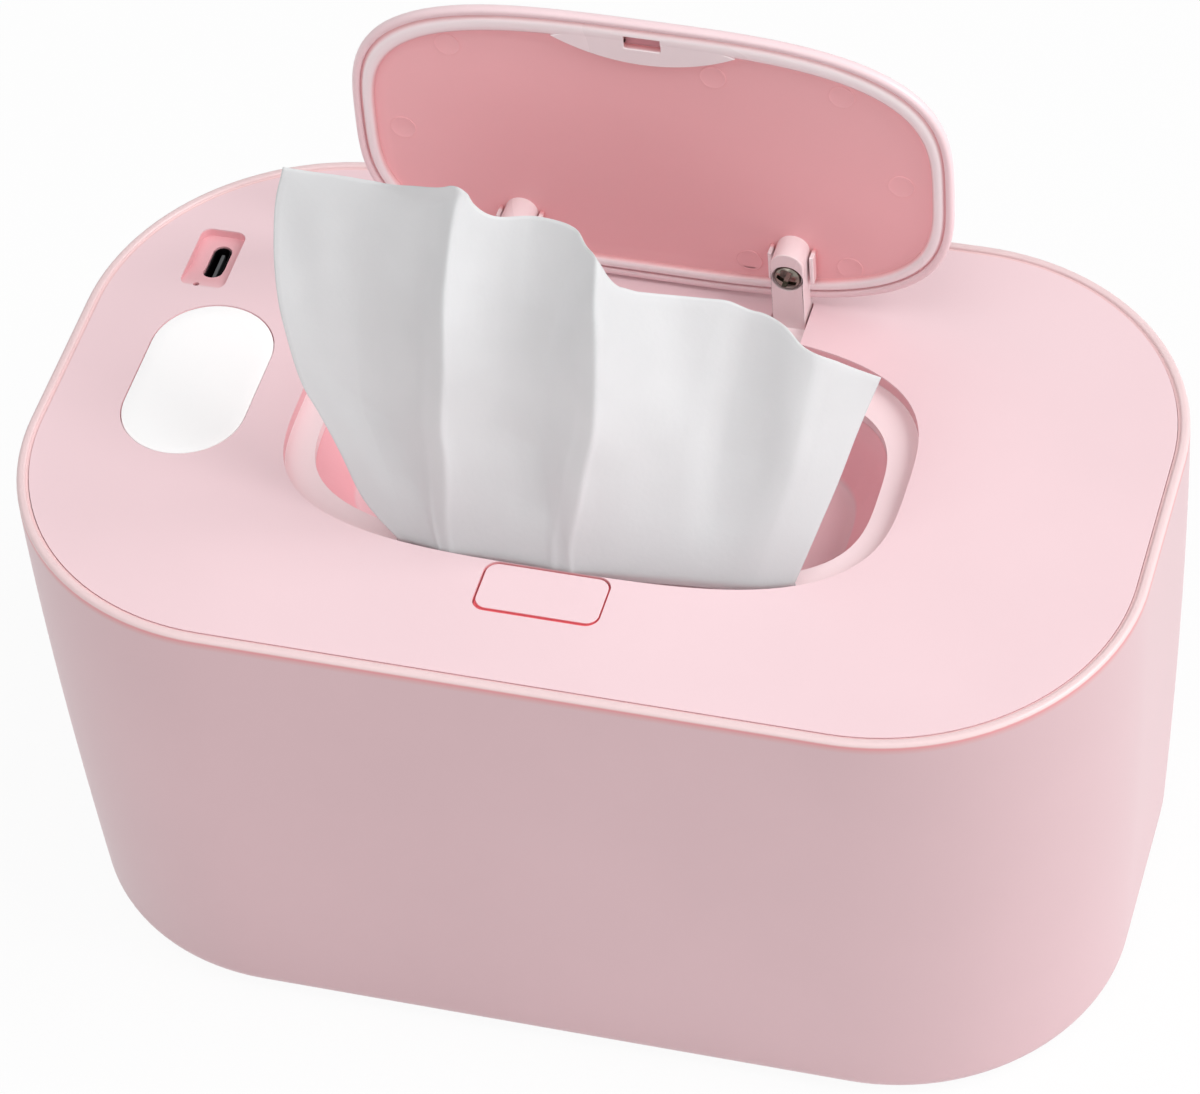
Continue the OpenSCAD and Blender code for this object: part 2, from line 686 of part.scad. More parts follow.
module battery_strap() color([0.2, 0.2, 0.22]) {
    low = housing_z + base_t + 3.5 + seat;
    translate([cell_x, 0, 0]) difference() {
        translate([-cell_w / 2 - 1.4, -6, low]) cube([cell_w + 2.8, 12, cell_z + cell_t + 1.2 - low]);
        translate([-cell_w / 2 - 0.1, -7, low - 1]) cube([cell_w + 0.2, 14, cell_z + cell_t + seat - low + 1]);
    }
}

module heater_sheet(z, t, inset) {
    slab(z, t) difference() {
        round_rect(heater_w - 2 * inset, heater_d - 2 * inset, 12 - inset);
        translate([0, well_y]) soft(gate_w / 2 + 4 + inset, gate_d / 2 + 5 + inset);
        for (p = heater_screw_at)
            translate(p) circle(1.2);
        if (inset > 0) translate([sensor_x, sensor_y]) circle(3);
    }
}

module heater_plate() color([0.8, 0.81, 0.82]) {
    heater_sheet(heater_z, heater_t, 0);
}

module heater_film() color([0.72, 0.45, 0.15]) {
    heater_sheet(heater_z + heater_t + seat, film_t, 1.5);
}

module heater_pad() color([0.9, 0.9, 0.88]) {
    heater_sheet(heater_z + heater_t + film_t + 2 * seat, housing_drop - heater_t - film_t - 3 * seat, 1);
}

module heater_screws() color(steel) {
    for (p = heater_screw_at)
        translate([p[0], p[1], heater_z]) screw(4, 1.2, 1.5, housing_drop + base_t);
}

module heat_sensor() color([0.1, 0.1, 0.1]) {
    translate([sensor_x, sensor_y, heater_z + heater_t + seat]) cylinder(r = 1.4, h = 4);
}

module thermal_fuse() color([0.85, 0.85, 0.82]) {
    translate([-47, fuse_y, housing_z + base_t + 1.5 + seat]) rotate([0, 90, 0]) cylinder(r = 1.5, h = 10);
}

module heater_leads() color([0.8, 0.15, 0.12]) {
    z = housing_z + base_t + 1.6;
    board_under = board_z - board_t - 0.8;
    wire([[sensor_x, sensor_y, z], [sensor_x - 3, sensor_y - 2, z + 0.6], [board_x + 13.2, sensor_y - 3, z + 1],
        [board_x + 7.2, sensor_y - 1, board_under - 1], [board_x + 4.2, sensor_y + 1, board_under]],
        0.6, [0, 0, 1]);
    wire([[-36.8, fuse_y, z], [-34, fuse_y + 0.4, z], [-28, fuse_y + 2, z], [-20, fuse_y + 3, z]], 0.6, [0, 0, 1]);
    wire([[-47.2, fuse_y, z], [-50, fuse_y + 0.4, z], [-55, fuse_y + 5, z + 1],
        [board_x + 8.2, board_front + 0.6, board_under - 1], [board_x + 5.2, board_front + 2.6, board_under]],
        0.6, [0, 0, 1]);
}

module battery_leads() color([0.75, 0.1, 0.1]) {
    z = housing_z + base_t + 1;
    for (k = [0, 1])
        wire([[cell_x - 8 + 3 * k, cell_l / 2 + 0.1, cell_z + 6],
            [cell_x - 8.6 + 3 * k, cell_l / 2 + 3, cell_z + 5.6], [cell_x - 14 + 3 * k, lead_y - 4 + 2 * k, z + 3],
            [46, lead_y + 2.4 * k, z], [0, lead_y + 0.6 + 2.4 * k, z], [-46, lead_y + 2.4 * k, z],
            [board_x + 14.2, lead_y - 7 + 2.4 * k, z + 1],
            [board_x + 6.2, lead_y - 12 + 3 * k, board_z - board_t - 2],
            [board_x + 2.2, lead_y - 16 + 3 * k, board_z - board_t - 0.8]], 0.6, [0, 0, 1]);
}

// Release button and latch
module release_button() color(pink) {
    w = button_w - 2 * button_gap;
    d = button_d - 2 * button_gap;
    low = cover_z - plate_t - 0.2 - button_flange;
    translate([0, button_y, 0]) slab(cover_z - 0.2 - cap_t, cap_t) round_rect(w, d, button_r - button_gap);
    translate([-button_w / 2 - 1.4, button_y - button_d / 2 - 1, low])
        cube([button_w + 2.8, button_d + 1 - tray_t - 0.3, button_flange]);
    translate([-w / 2 + 1, button_y - d / 2 + 1, low + 0.5]) cube([w - 2, d - 2 - tray_t, 1.2]);
    translate([-stem_x, 0, 0]) rotate([90, 0, 90]) linear_extrude(2 * stem_x)
        polygon([[stem_front, low + 0.5], [stem_front + press_slope * (low + 0.5 - stem_z), stem_z],
            [stem_y + stem_d / 2, stem_z], [stem_y + stem_d / 2, low + 0.5]]);
}

module button_spring() color(steel) {
    low = bracket_z + 1.4 + seat;
    translate([0, stem_y, low]) spring(1.5, 0.4, 4, stem_z - seat - low);
}

module latch_slider() color(white) difference() {
    low = slider_z - slider_t;
    hook_top = cover_z - 1.15;
    slot_front = stem_front - 0.15 + press_slope * (cover_z - plate_t - 0.2 - button_flange + 0.5 - slider_z);
    union() {
        translate([-5.8, stem_y - slider_front, low])
            cube([11.6, hook_y + 1.2 - stem_y + slider_front, slider_t]);
        translate([-hook_w / 2, hook_y, low]) cube([hook_w, 1.2, hook_top - low]);
        translate([-hook_w / 2, 0, 0]) rotate([90, 0, 90]) linear_extrude(hook_w)
            polygon([[hook_y + 1, hook_top - 0.75], [hook_y + 1.6, hook_top - 0.75],
                [hook_y + 1.3, hook_top], [hook_y + 1, hook_top]]);
    }
    translate([-stem_x - 0.3, 0, 0]) rotate([90, 0, 90]) linear_extrude(2 * stem_x + 0.6)
        polygon([[slot_front - press_slope, slider_z + 1], [slot_front + press_slope * 3, slider_z - 3],
            [stem_y + stem_d / 2 + latch_travel + 0.3, slider_z - 3],
            [stem_y + stem_d / 2 + latch_travel + 0.3, slider_z + 1]]);
}

module latch_spring() color(steel) {
    start = stem_y - slider_front - seat;
    translate([0, start, slider_z - 1.5]) rotate([90, 0, 0])
        spring(1, 0.4, 4, start - seat - bracket_y - 1.6);
}

module latch_bracket() color(white) difference() {
    rail_z = slider_z - slider_t - 0.1;
    length = stem_y + 4.2 - bracket_y;
    union() {
        for (m = [0, 1])
            mirror([m, 0, 0]) {
                translate([6.1, bracket_y, bracket_z]) cube([1.8, length, slider_z + 0.1 - bracket_z]);
                translate([4.4, bracket_y, rail_z - 1.4]) cube([1.8, length, 1.4]);
                translate([7.6, bracket_screw_at[0][1] - 3.4, slider_z - slider_t - 1.5])
                    cube([13, 6.8, 1.5]);
            }
        translate([-7.9, bracket_y, bracket_z]) cube([15.8, length, 1.4]);
        translate([-7.9, bracket_y, bracket_z]) cube([15.8, 1.6, slider_z - bracket_z]);
        translate([0, stem_y, bracket_z]) cylinder(r = 1, h = 2.6);
    }
    for (p = bracket_screw_at)
        translate([p[0], p[1], slider_z - slider_t - 3]) cylinder(r = 1.05, h = 5);
}

module bracket_screws() color(steel) {
    for (p = bracket_screw_at)
        translate([p[0], p[1], slider_z - slider_t - 1.5 - seat]) screw(3.6, 1.2, 1.5, 4.2);
}

// Hinge
module hinge_pin() color(steel) {
    length = 2 * (arm_x + arm_w / 2 + lug_t + 1);
    translate([-length / 2, hinge_y, hinge_z]) rotate([0, 90, 0]) cylinder(r = pin_d / 2, h = length);
}

// Torsion spring beside the arm: one leg bears on the cover plate, the other lies under the arm's knuckle
module hinge_spring(m) {
    thick = 0.8;
    turns = 4;
    r = pin_d / 2 + 0.35 + thick / 2;
    length = turns * 1.06;
    x0 = arm_x - arm_w / 2 - spring_room + 0.6;
    winding = [for (p = coil(r, turns, length)) [x0 + p[2], hinge_y - p[0], hinge_z - p[1]]];
    top = [x0, hinge_y - r, cover_z - plate_t - 0.1];
    foot = [x0 + length, hinge_y - r, hinge_z - knuckle_r - 0.6];
    mirror([m, 0, 0]) wire(concat([top], winding, [foot, foot + [3, 0, -0.4]]), thick / 2, [1, 0, 0.2]);
}

module hinge_spring_left() color(steel) {
    hinge_spring(1);
}

module hinge_spring_right() color(steel) {
    hinge_spring(0);
}

// Turns what is drawn in the closed place to the open place
module opened() {
    translate([0, hinge_y, hinge_z]) rotate([-lid_angle, 0, 0]) translate([0, -hinge_y, -hinge_z])
        children();
}

module hinge_arm(x) color([0.97, 0.86, 0.88]) opened() difference() {
    union() {
        translate([x - arm_w / 2, 0, 0]) rotate([90, 0, 90]) linear_extrude(arm_w) {
            translate([hinge_y, hinge_z]) circle(knuckle_r);
            translate([arm_end_y + arm_w / 2, panel_z - arm_t])
                square([hinge_y - arm_end_y - arm_w / 2, arm_t]);
        }
        translate([x, arm_end_y + arm_w / 2, panel_z - arm_t]) cylinder(r = arm_w / 2, h = arm_t);
    }
    translate([x - arm_w, hinge_y, hinge_z]) rotate([0, 90, 0])
        cylinder(r = pin_d / 2 + pin_play, h = 2 * arm_w);
    translate([x, screw_y, panel_z - 2.6]) cylinder(r = 2.2, h = 4);
    translate([x, screw_y, panel_z - arm_t - 1]) cylinder(r = 1.2, h = arm_t + 1);
    translate([x, screw_y, panel_z - arm_t - 1]) cylinder(r = head_d / 2 + 0.25, h = 1.9);
}

module hinge_arm_left() {
    hinge_arm(-arm_x);
}

module hinge_arm_right() {
    hinge_arm(arm_x);
}

module arm_screws() color(steel) opened() {
    for (x = [-arm_x, arm_x])
        translate([x, screw_y, panel_z - arm_t + 0.9 - seat]) screw(head_d, 1.7, 2, arm_t - 1.6);
}

// Lid, drawn closed and turned open
module lid_shell() color(pink) opened() difference() {
    translate([0, lid_y, 0]) slab(cover_z - lid_t, lid_t) soft(lid_a, lid_b);
    translate([0, lid_y, 0]) slab(cover_z - lid_t - 1, lid_t + 1 - lid_skin)
        soft(lid_a - lid_rim, lid_b - lid_rim);
    for (x = [-arm_x, arm_x])
        translate([x - arm_w / 2 - 0.3, lid_y + lid_b - 4, panel_z - 5]) cube([arm_w + 0.6, 8, 5.1]);
}

module lid_liner() color([0.97, 0.84, 0.86]) opened() difference() {
    edge = lid_rim + 0.1;
    ring_a = lid_a - ring_side;
    ring_b = (lid_d - ring_front - ring_back) / 2;
    ring_y = lid_y - lid_b + ring_front + ring_b;
    low = cover_z - lid_t;
    hook_x = hook_w / 2 + 0.6;
    union() {
        difference() {
            translate([0, lid_y, 0]) slab(low, lid_t - lid_skin - seat) soft(lid_a - edge, lid_b - edge);
            difference() {
                translate([0, ring_y, 0]) slab(low - 1, 1 + panel_sunk) soft(ring_a, ring_b);
                slab(low - 2, 8) crescent(ring_y - ring_b + tab_reach);
            }
        }
        for (x = [-arm_x, arm_x], s = [-1, 1])
            translate([x + s * (arm_w / 2 + 0.8) - 0.4, arm_end_y + 2.6, low - 1.4])
                cube([0.8, 6.4, 1.4 + panel_sunk + 0.2]);
        for (x = [-arm_x, arm_x])
            translate([x, screw_y, panel_z - 2.4]) cylinder(r = 2, h = 2.6);
    }
    translate([-hook_x, hook_y - latch_travel - 0.2, low - 1]) cube([2 * hook_x, latch_travel + 1.5, 4]);
    translate([-hook_x, hook_y - latch_travel - 0.2, low + 0.5]) cube([2 * hook_x, latch_travel + 2.3, 2]);
    for (x = [-arm_x, arm_x]) {
        translate([x - arm_w / 2 - 0.3, lid_y + lid_b - ring_back - 4, panel_z - 5])
            cube([arm_w + 0.6, 12, 5.1]);
        translate([x, screw_y, panel_z - 3]) cylinder(r = 1.05, h = 3.2);
    }
}

// The pulled-up wipe: a sheet that comes up through the slit and stands above the front of the well
module wipe_sheet() color(white) {
    low = well_z - 4;
    top = cover_z + wipe_up;
    half = wipe_w / 2;
    lean_y = well_y - well_d / 2 + 4;
    front = wipe_t / 2;
    intersection() {
        translate([0, 60, 0]) rotate([90, 0, 0]) linear_extrude(120)
            polygon([[4 - slit_w / 2, low], [slit_w / 2 - 4, low], [slit_w / 2 - 4, well_z + 3],
                [38, cover_z - 4], [half, cover_z + 34], [41, cover_z + 42], [10, cover_z + 45],
                [6, top - 1], [-18, top], [6 - half, top], [-half, cover_z + 24], [-44, cover_z + 8],
                [-30, cover_z - 6], [4 - slit_w / 2, well_z + 3]]);
        translate([-80, 0, 0]) rotate([90, 0, 90]) linear_extrude(160)
            polygon([[slit_y - front, low], [slit_y + front, low], [slit_y + front, well_z + 1.4],
                [lean_y + 3, cover_z - 4.4], [lean_y + 3.4, cover_z + 4], [-4, top], [-4 - wipe_t, top],
                [lean_y, cover_z + 4], [lean_y - 0.4, cover_z - 5.4], [slit_y - front, well_z + 2.4]]);
    }
}

body_shell();
rubber_feet();
foam_sleeve();
foam_base();
inner_tub();
wipe_stack();
cover_gasket();
cover_plate();
cover_base();
cover_screws();
well_insert();
gate();
display_lens();
display_module();
main_board();
board_screws();
controller_chip();
power_coil();
usb_shell();
usb_tongue();
charge_light();
battery();
battery_strap();
heater_plate();
heater_film();
heater_pad();
heater_screws();
heat_sensor();
thermal_fuse();
heater_leads();
battery_leads();
release_button();
button_spring();
latch_slider();
latch_spring();
latch_bracket();
bracket_screws();
hinge_pin();
hinge_spring_left();
hinge_spring_right();
hinge_arm_left();
hinge_arm_right();
arm_screws();
lid_shell();
lid_liner();
wipe_sheet();
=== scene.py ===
import bmesh
import bpy
import math
from mathutils import Matrix, Vector


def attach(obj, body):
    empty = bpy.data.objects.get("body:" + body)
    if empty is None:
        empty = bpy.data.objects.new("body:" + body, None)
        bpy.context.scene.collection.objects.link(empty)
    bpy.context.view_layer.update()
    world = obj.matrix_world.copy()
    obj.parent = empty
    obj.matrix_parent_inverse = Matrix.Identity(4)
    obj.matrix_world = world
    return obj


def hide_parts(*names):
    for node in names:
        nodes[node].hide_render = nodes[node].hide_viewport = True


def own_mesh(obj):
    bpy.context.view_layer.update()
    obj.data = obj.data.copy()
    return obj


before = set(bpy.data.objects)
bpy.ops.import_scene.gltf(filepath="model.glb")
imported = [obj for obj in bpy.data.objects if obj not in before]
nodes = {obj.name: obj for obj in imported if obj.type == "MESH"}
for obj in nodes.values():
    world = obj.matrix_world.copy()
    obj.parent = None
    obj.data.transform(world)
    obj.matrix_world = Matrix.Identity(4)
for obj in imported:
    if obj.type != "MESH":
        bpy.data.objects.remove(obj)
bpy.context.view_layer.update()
MM = 0.001

# Sizes in millimetres, as in the part's source. An oval has a half-width A, a half-depth B and a middle Y.
CORNER_X, CORNER_Y = 57.0, 16.0  # centres of the body's corner arcs
RIM_R = 47.0  # radius of those arcs at the rim
BODY_H = 102.0
COVER_Z = 101.6  # top of the cover plate
PLATE_R, PLATE_T = 44.72, 2.2
LEAN = 4.2  # how far the wall stands in at the table
FOOT = 1.2  # underside of the body
OPEN_A, OPEN_B, OPEN_Y = 57.0, 32.7, -0.5  # recess of the lid
LEDGE_Z = 98.8  # floor of that recess
WELL_A, WELL_B, WELL_Y = 51.8, 26.2, -1.2
WELL_Z = 85.6  # floor of the well
SLIT_W, SLIT_D, SLIT_Y = 50.0, 3.0, -7.0  # slit in the gate
POWER = 3.2  # exponent of the ovals, where 2 would be an ellipse
LID_A, LID_B, LID_Y = 56.4, 31.0, -1.6
LID_T = 2.6
BEAD_SIDE, BEAD_FRONT, BEAD_BACK = 4.0, 5.2, 3.8  # widths of the raised edge inside the lid
PANEL_Z = 99.8
HINGE_Y, HINGE_Z = 36.8, 95.0
LID_ANGLE = 91.0
ARM_X, ARM_W, ARM_T = 25.9, 6.2, 5.0
ARM_END_Y = 14.2
ARM_SLOT_Y, ARM_SLOT_D = 28.4, 27.2  # slots that the arms come up through
SCREW_Y = 20.0
BUTTON_W, BUTTON_D, BUTTON_R, BUTTON_Y = 23.4, 12.0, 2.6, -39.2
WINDOW_X, WINDOW_W, WINDOW_L = -77.0, 23.6, 39.2
SOCKET_X, SOCKET_Y = -83.7, 31.8
LIGHT_X, LIGHT_Y = SOCKET_X - 1.6, SOCKET_Y - 7.6  # pinhole of the charging light
SCOOP, SCOOP_RUN, SCOOP_Y = 1.8, 15.6, SOCKET_Y - 8.4  # hollow round the socket: depth, length, front end
TAB_W, TAB_REACH, SHELF_REACH = 34.4, 4.2, 3.8
TAB_R = (TAB_W ** 2 / 4 + TAB_REACH ** 2) / (2 * TAB_REACH)
SHELF_Y = WELL_Y - WELL_B + SHELF_REACH  # tip of the crescent shelf in the ledge
HOOK_Y = -28.4
ABOVE = 104.0  # clear of the cover, for cutting through it


# ---------- materials ----------
def linear(r, g, b):
    def one(v):
        v /= 255
        return v / 12.92 if v <= 0.04045 else ((v + 0.055) / 1.055) ** 2.4
    return (one(r), one(g), one(b), 1.0)


def new_material(name):
    mat = bpy.data.materials.new(name)
    mat.use_nodes = True
    tree = mat.node_tree
    return mat, tree, tree.nodes["Principled BSDF"]


def mottle(tree, scale, detail):
    """Noise in the piece's own coordinates."""
    co = tree.nodes.new("ShaderNodeTexCoord")
    noise = tree.nodes.new("ShaderNodeTexNoise")
    noise.inputs["Scale"].default_value = scale
    noise.inputs["Detail"].default_value = detail
    tree.links.new(co.outputs["Object"], noise.inputs["Vector"])
    return noise.outputs["Fac"]


def ramp(tree, fac, stops):
    node = tree.nodes.new("ShaderNodeValToRGB")
    el = node.color_ramp.elements
    el[0].position, el[0].color = stops[0]
    el[1].position, el[1].color = stops[-1]
    for pos, col in stops[1:-1]:
        e = el.new(pos)
        e.color = col
    tree.links.new(fac, node.inputs["Fac"])
    return node


def shade(col, k):
    return (min(1, col[0] * k), min(1, col[1] * k), min(1, col[2] * k), 1.0)


def tone(tree, bsdf, noise, dark, light, ends=(0.3, 0.7)):
    """Base colour that wanders between dark and light with the noise."""
    colour = ramp(tree, noise, [(ends[0], dark), (ends[1], light)]).outputs["Color"]
    tree.links.new(colour, bsdf.inputs["Base Color"])
    return colour


def bump(tree, bsdf, height, strength, distance):
    node = tree.nodes.new("ShaderNodeBump")
    node.inputs["Strength"].default_value = strength
    node.inputs["Distance"].default_value = distance
    tree.links.new(height, node.inputs["Height"])
    tree.links.new(node.outputs["Normal"], bsdf.inputs["Normal"])


ROUGH_SPREAD = 0.06  # how far a plastic's roughness wanders to either side


def plastic(name, rgb, rough, vary=0.03, grain=1400.0, grain_depth=0.00003, coat=0.0):
    mat, tree, bsdf = new_material(name)
    col = linear(*rgb)
    broad = mottle(tree, 14.0, 3.0)
    tone(tree, bsdf, broad, shade(col, 1 - vary), shade(col, 1 + vary))
    gloss = tree.nodes.new("ShaderNodeMapRange")
    gloss.inputs["To Min"].default_value = rough - ROUGH_SPREAD
    gloss.inputs["To Max"].default_value = rough + ROUGH_SPREAD
    tree.links.new(broad, gloss.inputs["Value"])
    tree.links.new(gloss.outputs["Result"], bsdf.inputs["Roughness"])
    bump(tree, bsdf, mottle(tree, grain, 2.0), 0.35, grain_depth)
    bsdf.inputs["Coat Weight"].default_value = coat
    return mat


def by_height(mat, low, high, stops, up=(0, 0, 1), start=0.0):
    """Colour that comes in with the height along up on the piece; a stop is (height in mm, r, g, b, share)."""
    tree = mat.node_tree
    colour = tree.nodes["Principled BSDF"].inputs["Base Color"]
    before = colour.links[0].from_socket
    co = tree.nodes.new("ShaderNodeTexCoord")
    along = tree.nodes.new("ShaderNodeVectorMath")
    along.operation = "DOT_PRODUCT"
    along.inputs[1].default_value = up
    tree.links.new(co.outputs["Object"], along.inputs[0])
    span = tree.nodes.new("ShaderNodeMapRange")
    span.inputs["From Min"].default_value = (low - start) * MM
    span.inputs["From Max"].default_value = (high - start) * MM
    tree.links.new(along.outputs["Value"], span.inputs["Value"])
    tint = ramp(tree, span.outputs["Result"],
                [((z - low) / (high - low), linear(r, g, b)[:3] + (share,)) for z, r, g, b, share in stops])
    mix = tree.nodes.new("ShaderNodeMix")
    mix.data_type = "RGBA"
    tree.links.new(tint.outputs["Alpha"], mix.inputs["Factor"])
    tree.links.new(before, mix.inputs["A"])
    tree.links.new(tint.outputs["Color"], mix.inputs["B"])
    tree.links.new(mix.outputs["Result"], colour)


def metal(name, rgb, rough):
    mat, tree, bsdf = new_material(name)
    col = linear(*rgb)
    grain = mottle(tree, 700.0, 3.0)
    tone(tree, bsdf, grain, shade(col, 0.9), shade(col, 1.06))
    bsdf.inputs["Metallic"].default_value = 1.0
    bsdf.inputs["Roughness"].default_value = rough
    bump(tree, bsdf, grain, 0.25, 0.00003)
    return mat


def cloth(name, rgb, through):
    """Unwoven cloth; through is the share of light that passes through it."""
    mat, tree, bsdf = new_material(name)
    col = linear(*rgb)
    colour = tone(tree, bsdf, mottle(tree, 60.0, 2.0), shade(col, 0.965), shade(col, 1.02))
    bsdf.inputs["Roughness"].default_value = 0.85
    bsdf.inputs["Specular IOR Level"].default_value = 0.2
    bsdf.inputs["Sheen Weight"].default_value = 0.12
    bump(tree, bsdf, mottle(tree, 900.0, 6.0), 0.35, 0.00012)
    glow = tree.nodes.new("ShaderNodeBsdfTranslucent")
    tree.links.new(colour, glow.inputs["Color"])
    mix = tree.nodes.new("ShaderNodeMixShader")
    mix.inputs["Fac"].default_value = through
    tree.links.new(bsdf.outputs["BSDF"], mix.inputs[1])
    tree.links.new(glow.outputs["BSDF"], mix.inputs[2])
    tree.links.new(mix.outputs["Shader"], tree.nodes["Material Output"].inputs["Surface"])
    return mat


def board(name):
    mat, tree, bsdf = new_material(name)
    weave = mottle(tree, 260.0, 2.0)
    tone(tree, bsdf, weave, linear(22, 84, 46), linear(30, 102, 58), (0.45, 0.55))
    bsdf.inputs["Roughness"].default_value = 0.4
    bump(tree, bsdf, weave, 0.3, 0.00004)
    return mat


# The seams are redder than the faces beside them, because pink light is thrown from wall to wall there
# Painted highlight: the rim's top is painted paler. Painted shade: the shell is painted darker than the cover, though
# it is the same plastic, for the shade on its walls
shell_pink = plastic("shell_pink", (223, 188, 193), rough=0.36, grain=1500)
by_height(shell_pink, 98, BODY_H, [
    (98, 226, 158, 158, 0), (99.6, 226, 158, 158, 0), (100.5, 226, 156, 157, 0.5), (101.0, 232, 150, 154, 0.85),
    (101.2, 234, 152, 156, 0.85), (101.5, 248, 222, 221, 0.8), (102, 248, 224, 223, 0.6)])
cover_pink = plastic("cover_pink", (242, 212, 217), rough=0.42, grain=1500)
# Painted light: the ledge in the lid's recess is painted paler, and painted shade makes the walls of the recess and of
# the holes redder
by_height(cover_pink, 98.4, 102, [
    (98.4, 255, 236, 238, 0.8), (98.9, 255, 236, 238, 0.8), (99.2, 228, 140, 148, 0.5), (100.9, 232, 140, 148, 0.5),
    (101.3, 238, 150, 156, 0.4), (101.45, 240, 170, 176, 0)])
button_pink = plastic("button_pink", (243, 213, 218), rough=0.42, grain=1500)
# Painted shade: the step round the cap is painted deep red, where it lies down in the groove
by_height(button_pink, 98, 102, [
    (98, 236, 92, 102, 0.9), (101.0, 236, 92, 102, 0.9), (101.26, 240, 126, 134, 0.8), (101.38, 246, 200, 206, 0)])
lid_pink = plastic("lid_pink", (248, 220, 224), rough=0.34)
# The lid's liner is one plastic in two copies: its panel is painted deep salmon, painted shade with the pink light
# thrown onto it, and its raised edge is painted near white, painted light
liner_pink = plastic("liner_pink", (255, 190, 194), rough=0.36)
bead_pink = plastic("bead_pink", (255, 240, 242), rough=0.28, coat=0.5)
# Which way the lid's own height runs once it is turned open, and where its 0 then lies along that
TILT = math.radians(LID_ANGLE)
LID_UP = (0, math.sin(TILT), math.cos(TILT))
LID_START = HINGE_Z - HINGE_Y * LID_UP[1] - HINGE_Z * LID_UP[2]
# Painted shade: the raised edge's walls are painted deeper pink towards the panel
by_height(bead_pink, 98.8, 100.4, [
    (98.8, 236, 150, 154, 0), (99.1, 236, 150, 154, 0), (99.5, 232, 136, 140, 0.5), (100.4, 226, 120, 124, 0.8)],
    up=LID_UP, start=LID_START)
arm_pink = plastic("arm_pink", (255, 236, 238), rough=0.28, coat=0.2)
# Painted light and shade: the well's walls are painted deep pink for the shade in them, and its floor paler, where the
# light falls
well_pink = plastic("well_pink", (255, 190, 198), rough=0.38)
by_height(well_pink, 85, 88, [(85, 245, 212, 217, 0.85), (86.2, 245, 212, 217, 0.85), (87.2, 245, 200, 206, 0)])
gate_pink = plastic("gate_pink", (244, 210, 215), rough=0.5)
lens_white = plastic("lens_white", (254, 254, 254), rough=0.25, vary=0.002)
# Painted light: the lens glows faintly, though it is no lamp
LENS_GLOW = 0.07
lens_shader = lens_white.node_tree.nodes["Principled BSDF"]
lens_shader.inputs["Emission Color"].default_value = (1.0, 1.0, 1.0, 1.0)
lens_shader.inputs["Emission Strength"].default_value = LENS_GLOW
white_plastic = plastic("white_moulding", (238, 238, 236), rough=0.5)
rubber = plastic("soft_rubber", (214, 213, 210), rough=0.8)
pink_rubber = plastic("pink_rubber", (222, 160, 168), rough=0.7)
black_plastic = plastic("black_moulding", (22, 22, 24), rough=0.4)
tongue_grey = plastic("tongue_grey", (74, 76, 78), rough=0.45)
socket_dark = metal("socket_dark", (26, 24, 26), 0.45)
led_red = plastic("light_red", (130, 44, 50), rough=0.3, coat=0.5)
steel = metal("plain_steel", (196, 198, 202), 0.25)
screw_steel = metal("screw_steel", (132, 126, 117), 0.2)
foil = metal("battery_foil", (196, 198, 206), 0.4)
aluminium = metal("aluminium_sheet", (208, 210, 212), 0.35)
amber = plastic("amber_film", (186, 118, 40), rough=0.25, coat=0.5)
foam = plastic("foam", (236, 236, 230), rough=0.9, grain=500, grain_depth=0.0002)
lead = plastic("lead_red", (196, 42, 34), rough=0.45)
green_board = board("green_board")
wipe_white = cloth("wipe_cloth", (240, 241, 242), 0.2)
# Painted shade: the cloth is painted greyer towards its foot, where it stands in shade
by_height(wipe_white, 84, 132, [
    (84, 196, 198, 201, 0.8), (100, 206, 208, 210, 0.7), (110, 222, 223, 225, 0.45), (132, 236, 237, 238, 0)])


# ---------- mesh helpers ----------
def to_object(bm, name):
    mesh = bpy.data.meshes.new(name)
    bm.to_mesh(mesh)
    bm.free()
    obj = bpy.data.objects.new(name, mesh)
    bpy.context.scene.collection.objects.link(obj)
    return obj


def finish_mesh(name, bm, material, body, stands_for=(), sharp=35.0):
    """Makes a visible piece of a bmesh, which rides on body and stands for the CAD nodes named."""
    bmesh.ops.recalc_face_normals(bm, faces=bm.faces)
    obj = to_object(bm, name)
    for face in obj.data.polygons:
        face.use_smooth = True
    obj.data.set_sharp_from_angle(angle=math.radians(sharp))
    obj.data.materials.append(material)
    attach(obj, body)
    if stands_for:
        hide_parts(*stands_for)
    return obj


def skin(rings, loop=False, outward=True):
    """Faces between rings of equally many points, closed at both ends or, as a loop, run back to the first ring."""
    bm = bmesh.new()
    made = [[bm.verts.new((x * MM, y * MM, z * MM)) for x, y, z in ring] for ring in rings]
    for a, b in list(zip(made, made[1:])) + ([(made[-1], made[0])] if loop else []):
        n = len(a)
        for i in range(n):
            bm.faces.new((a[i], a[(i + 1) % n], b[(i + 1) % n], b[i]))
    if not loop:
        bm.faces.new(made[0])
        bm.faces.new(made[-1])
    if outward:
        bmesh.ops.recalc_face_normals(bm, faces=bm.faces)
    return bm


def arc(cx, cy, r, start, end, n):
    return [(cx + r * math.cos(math.radians(start + (end - start) * i / n)),
             cy + r * math.sin(math.radians(start + (end - start) * i / n))) for i in range(n + 1)]


CORNER_STEPS = 28


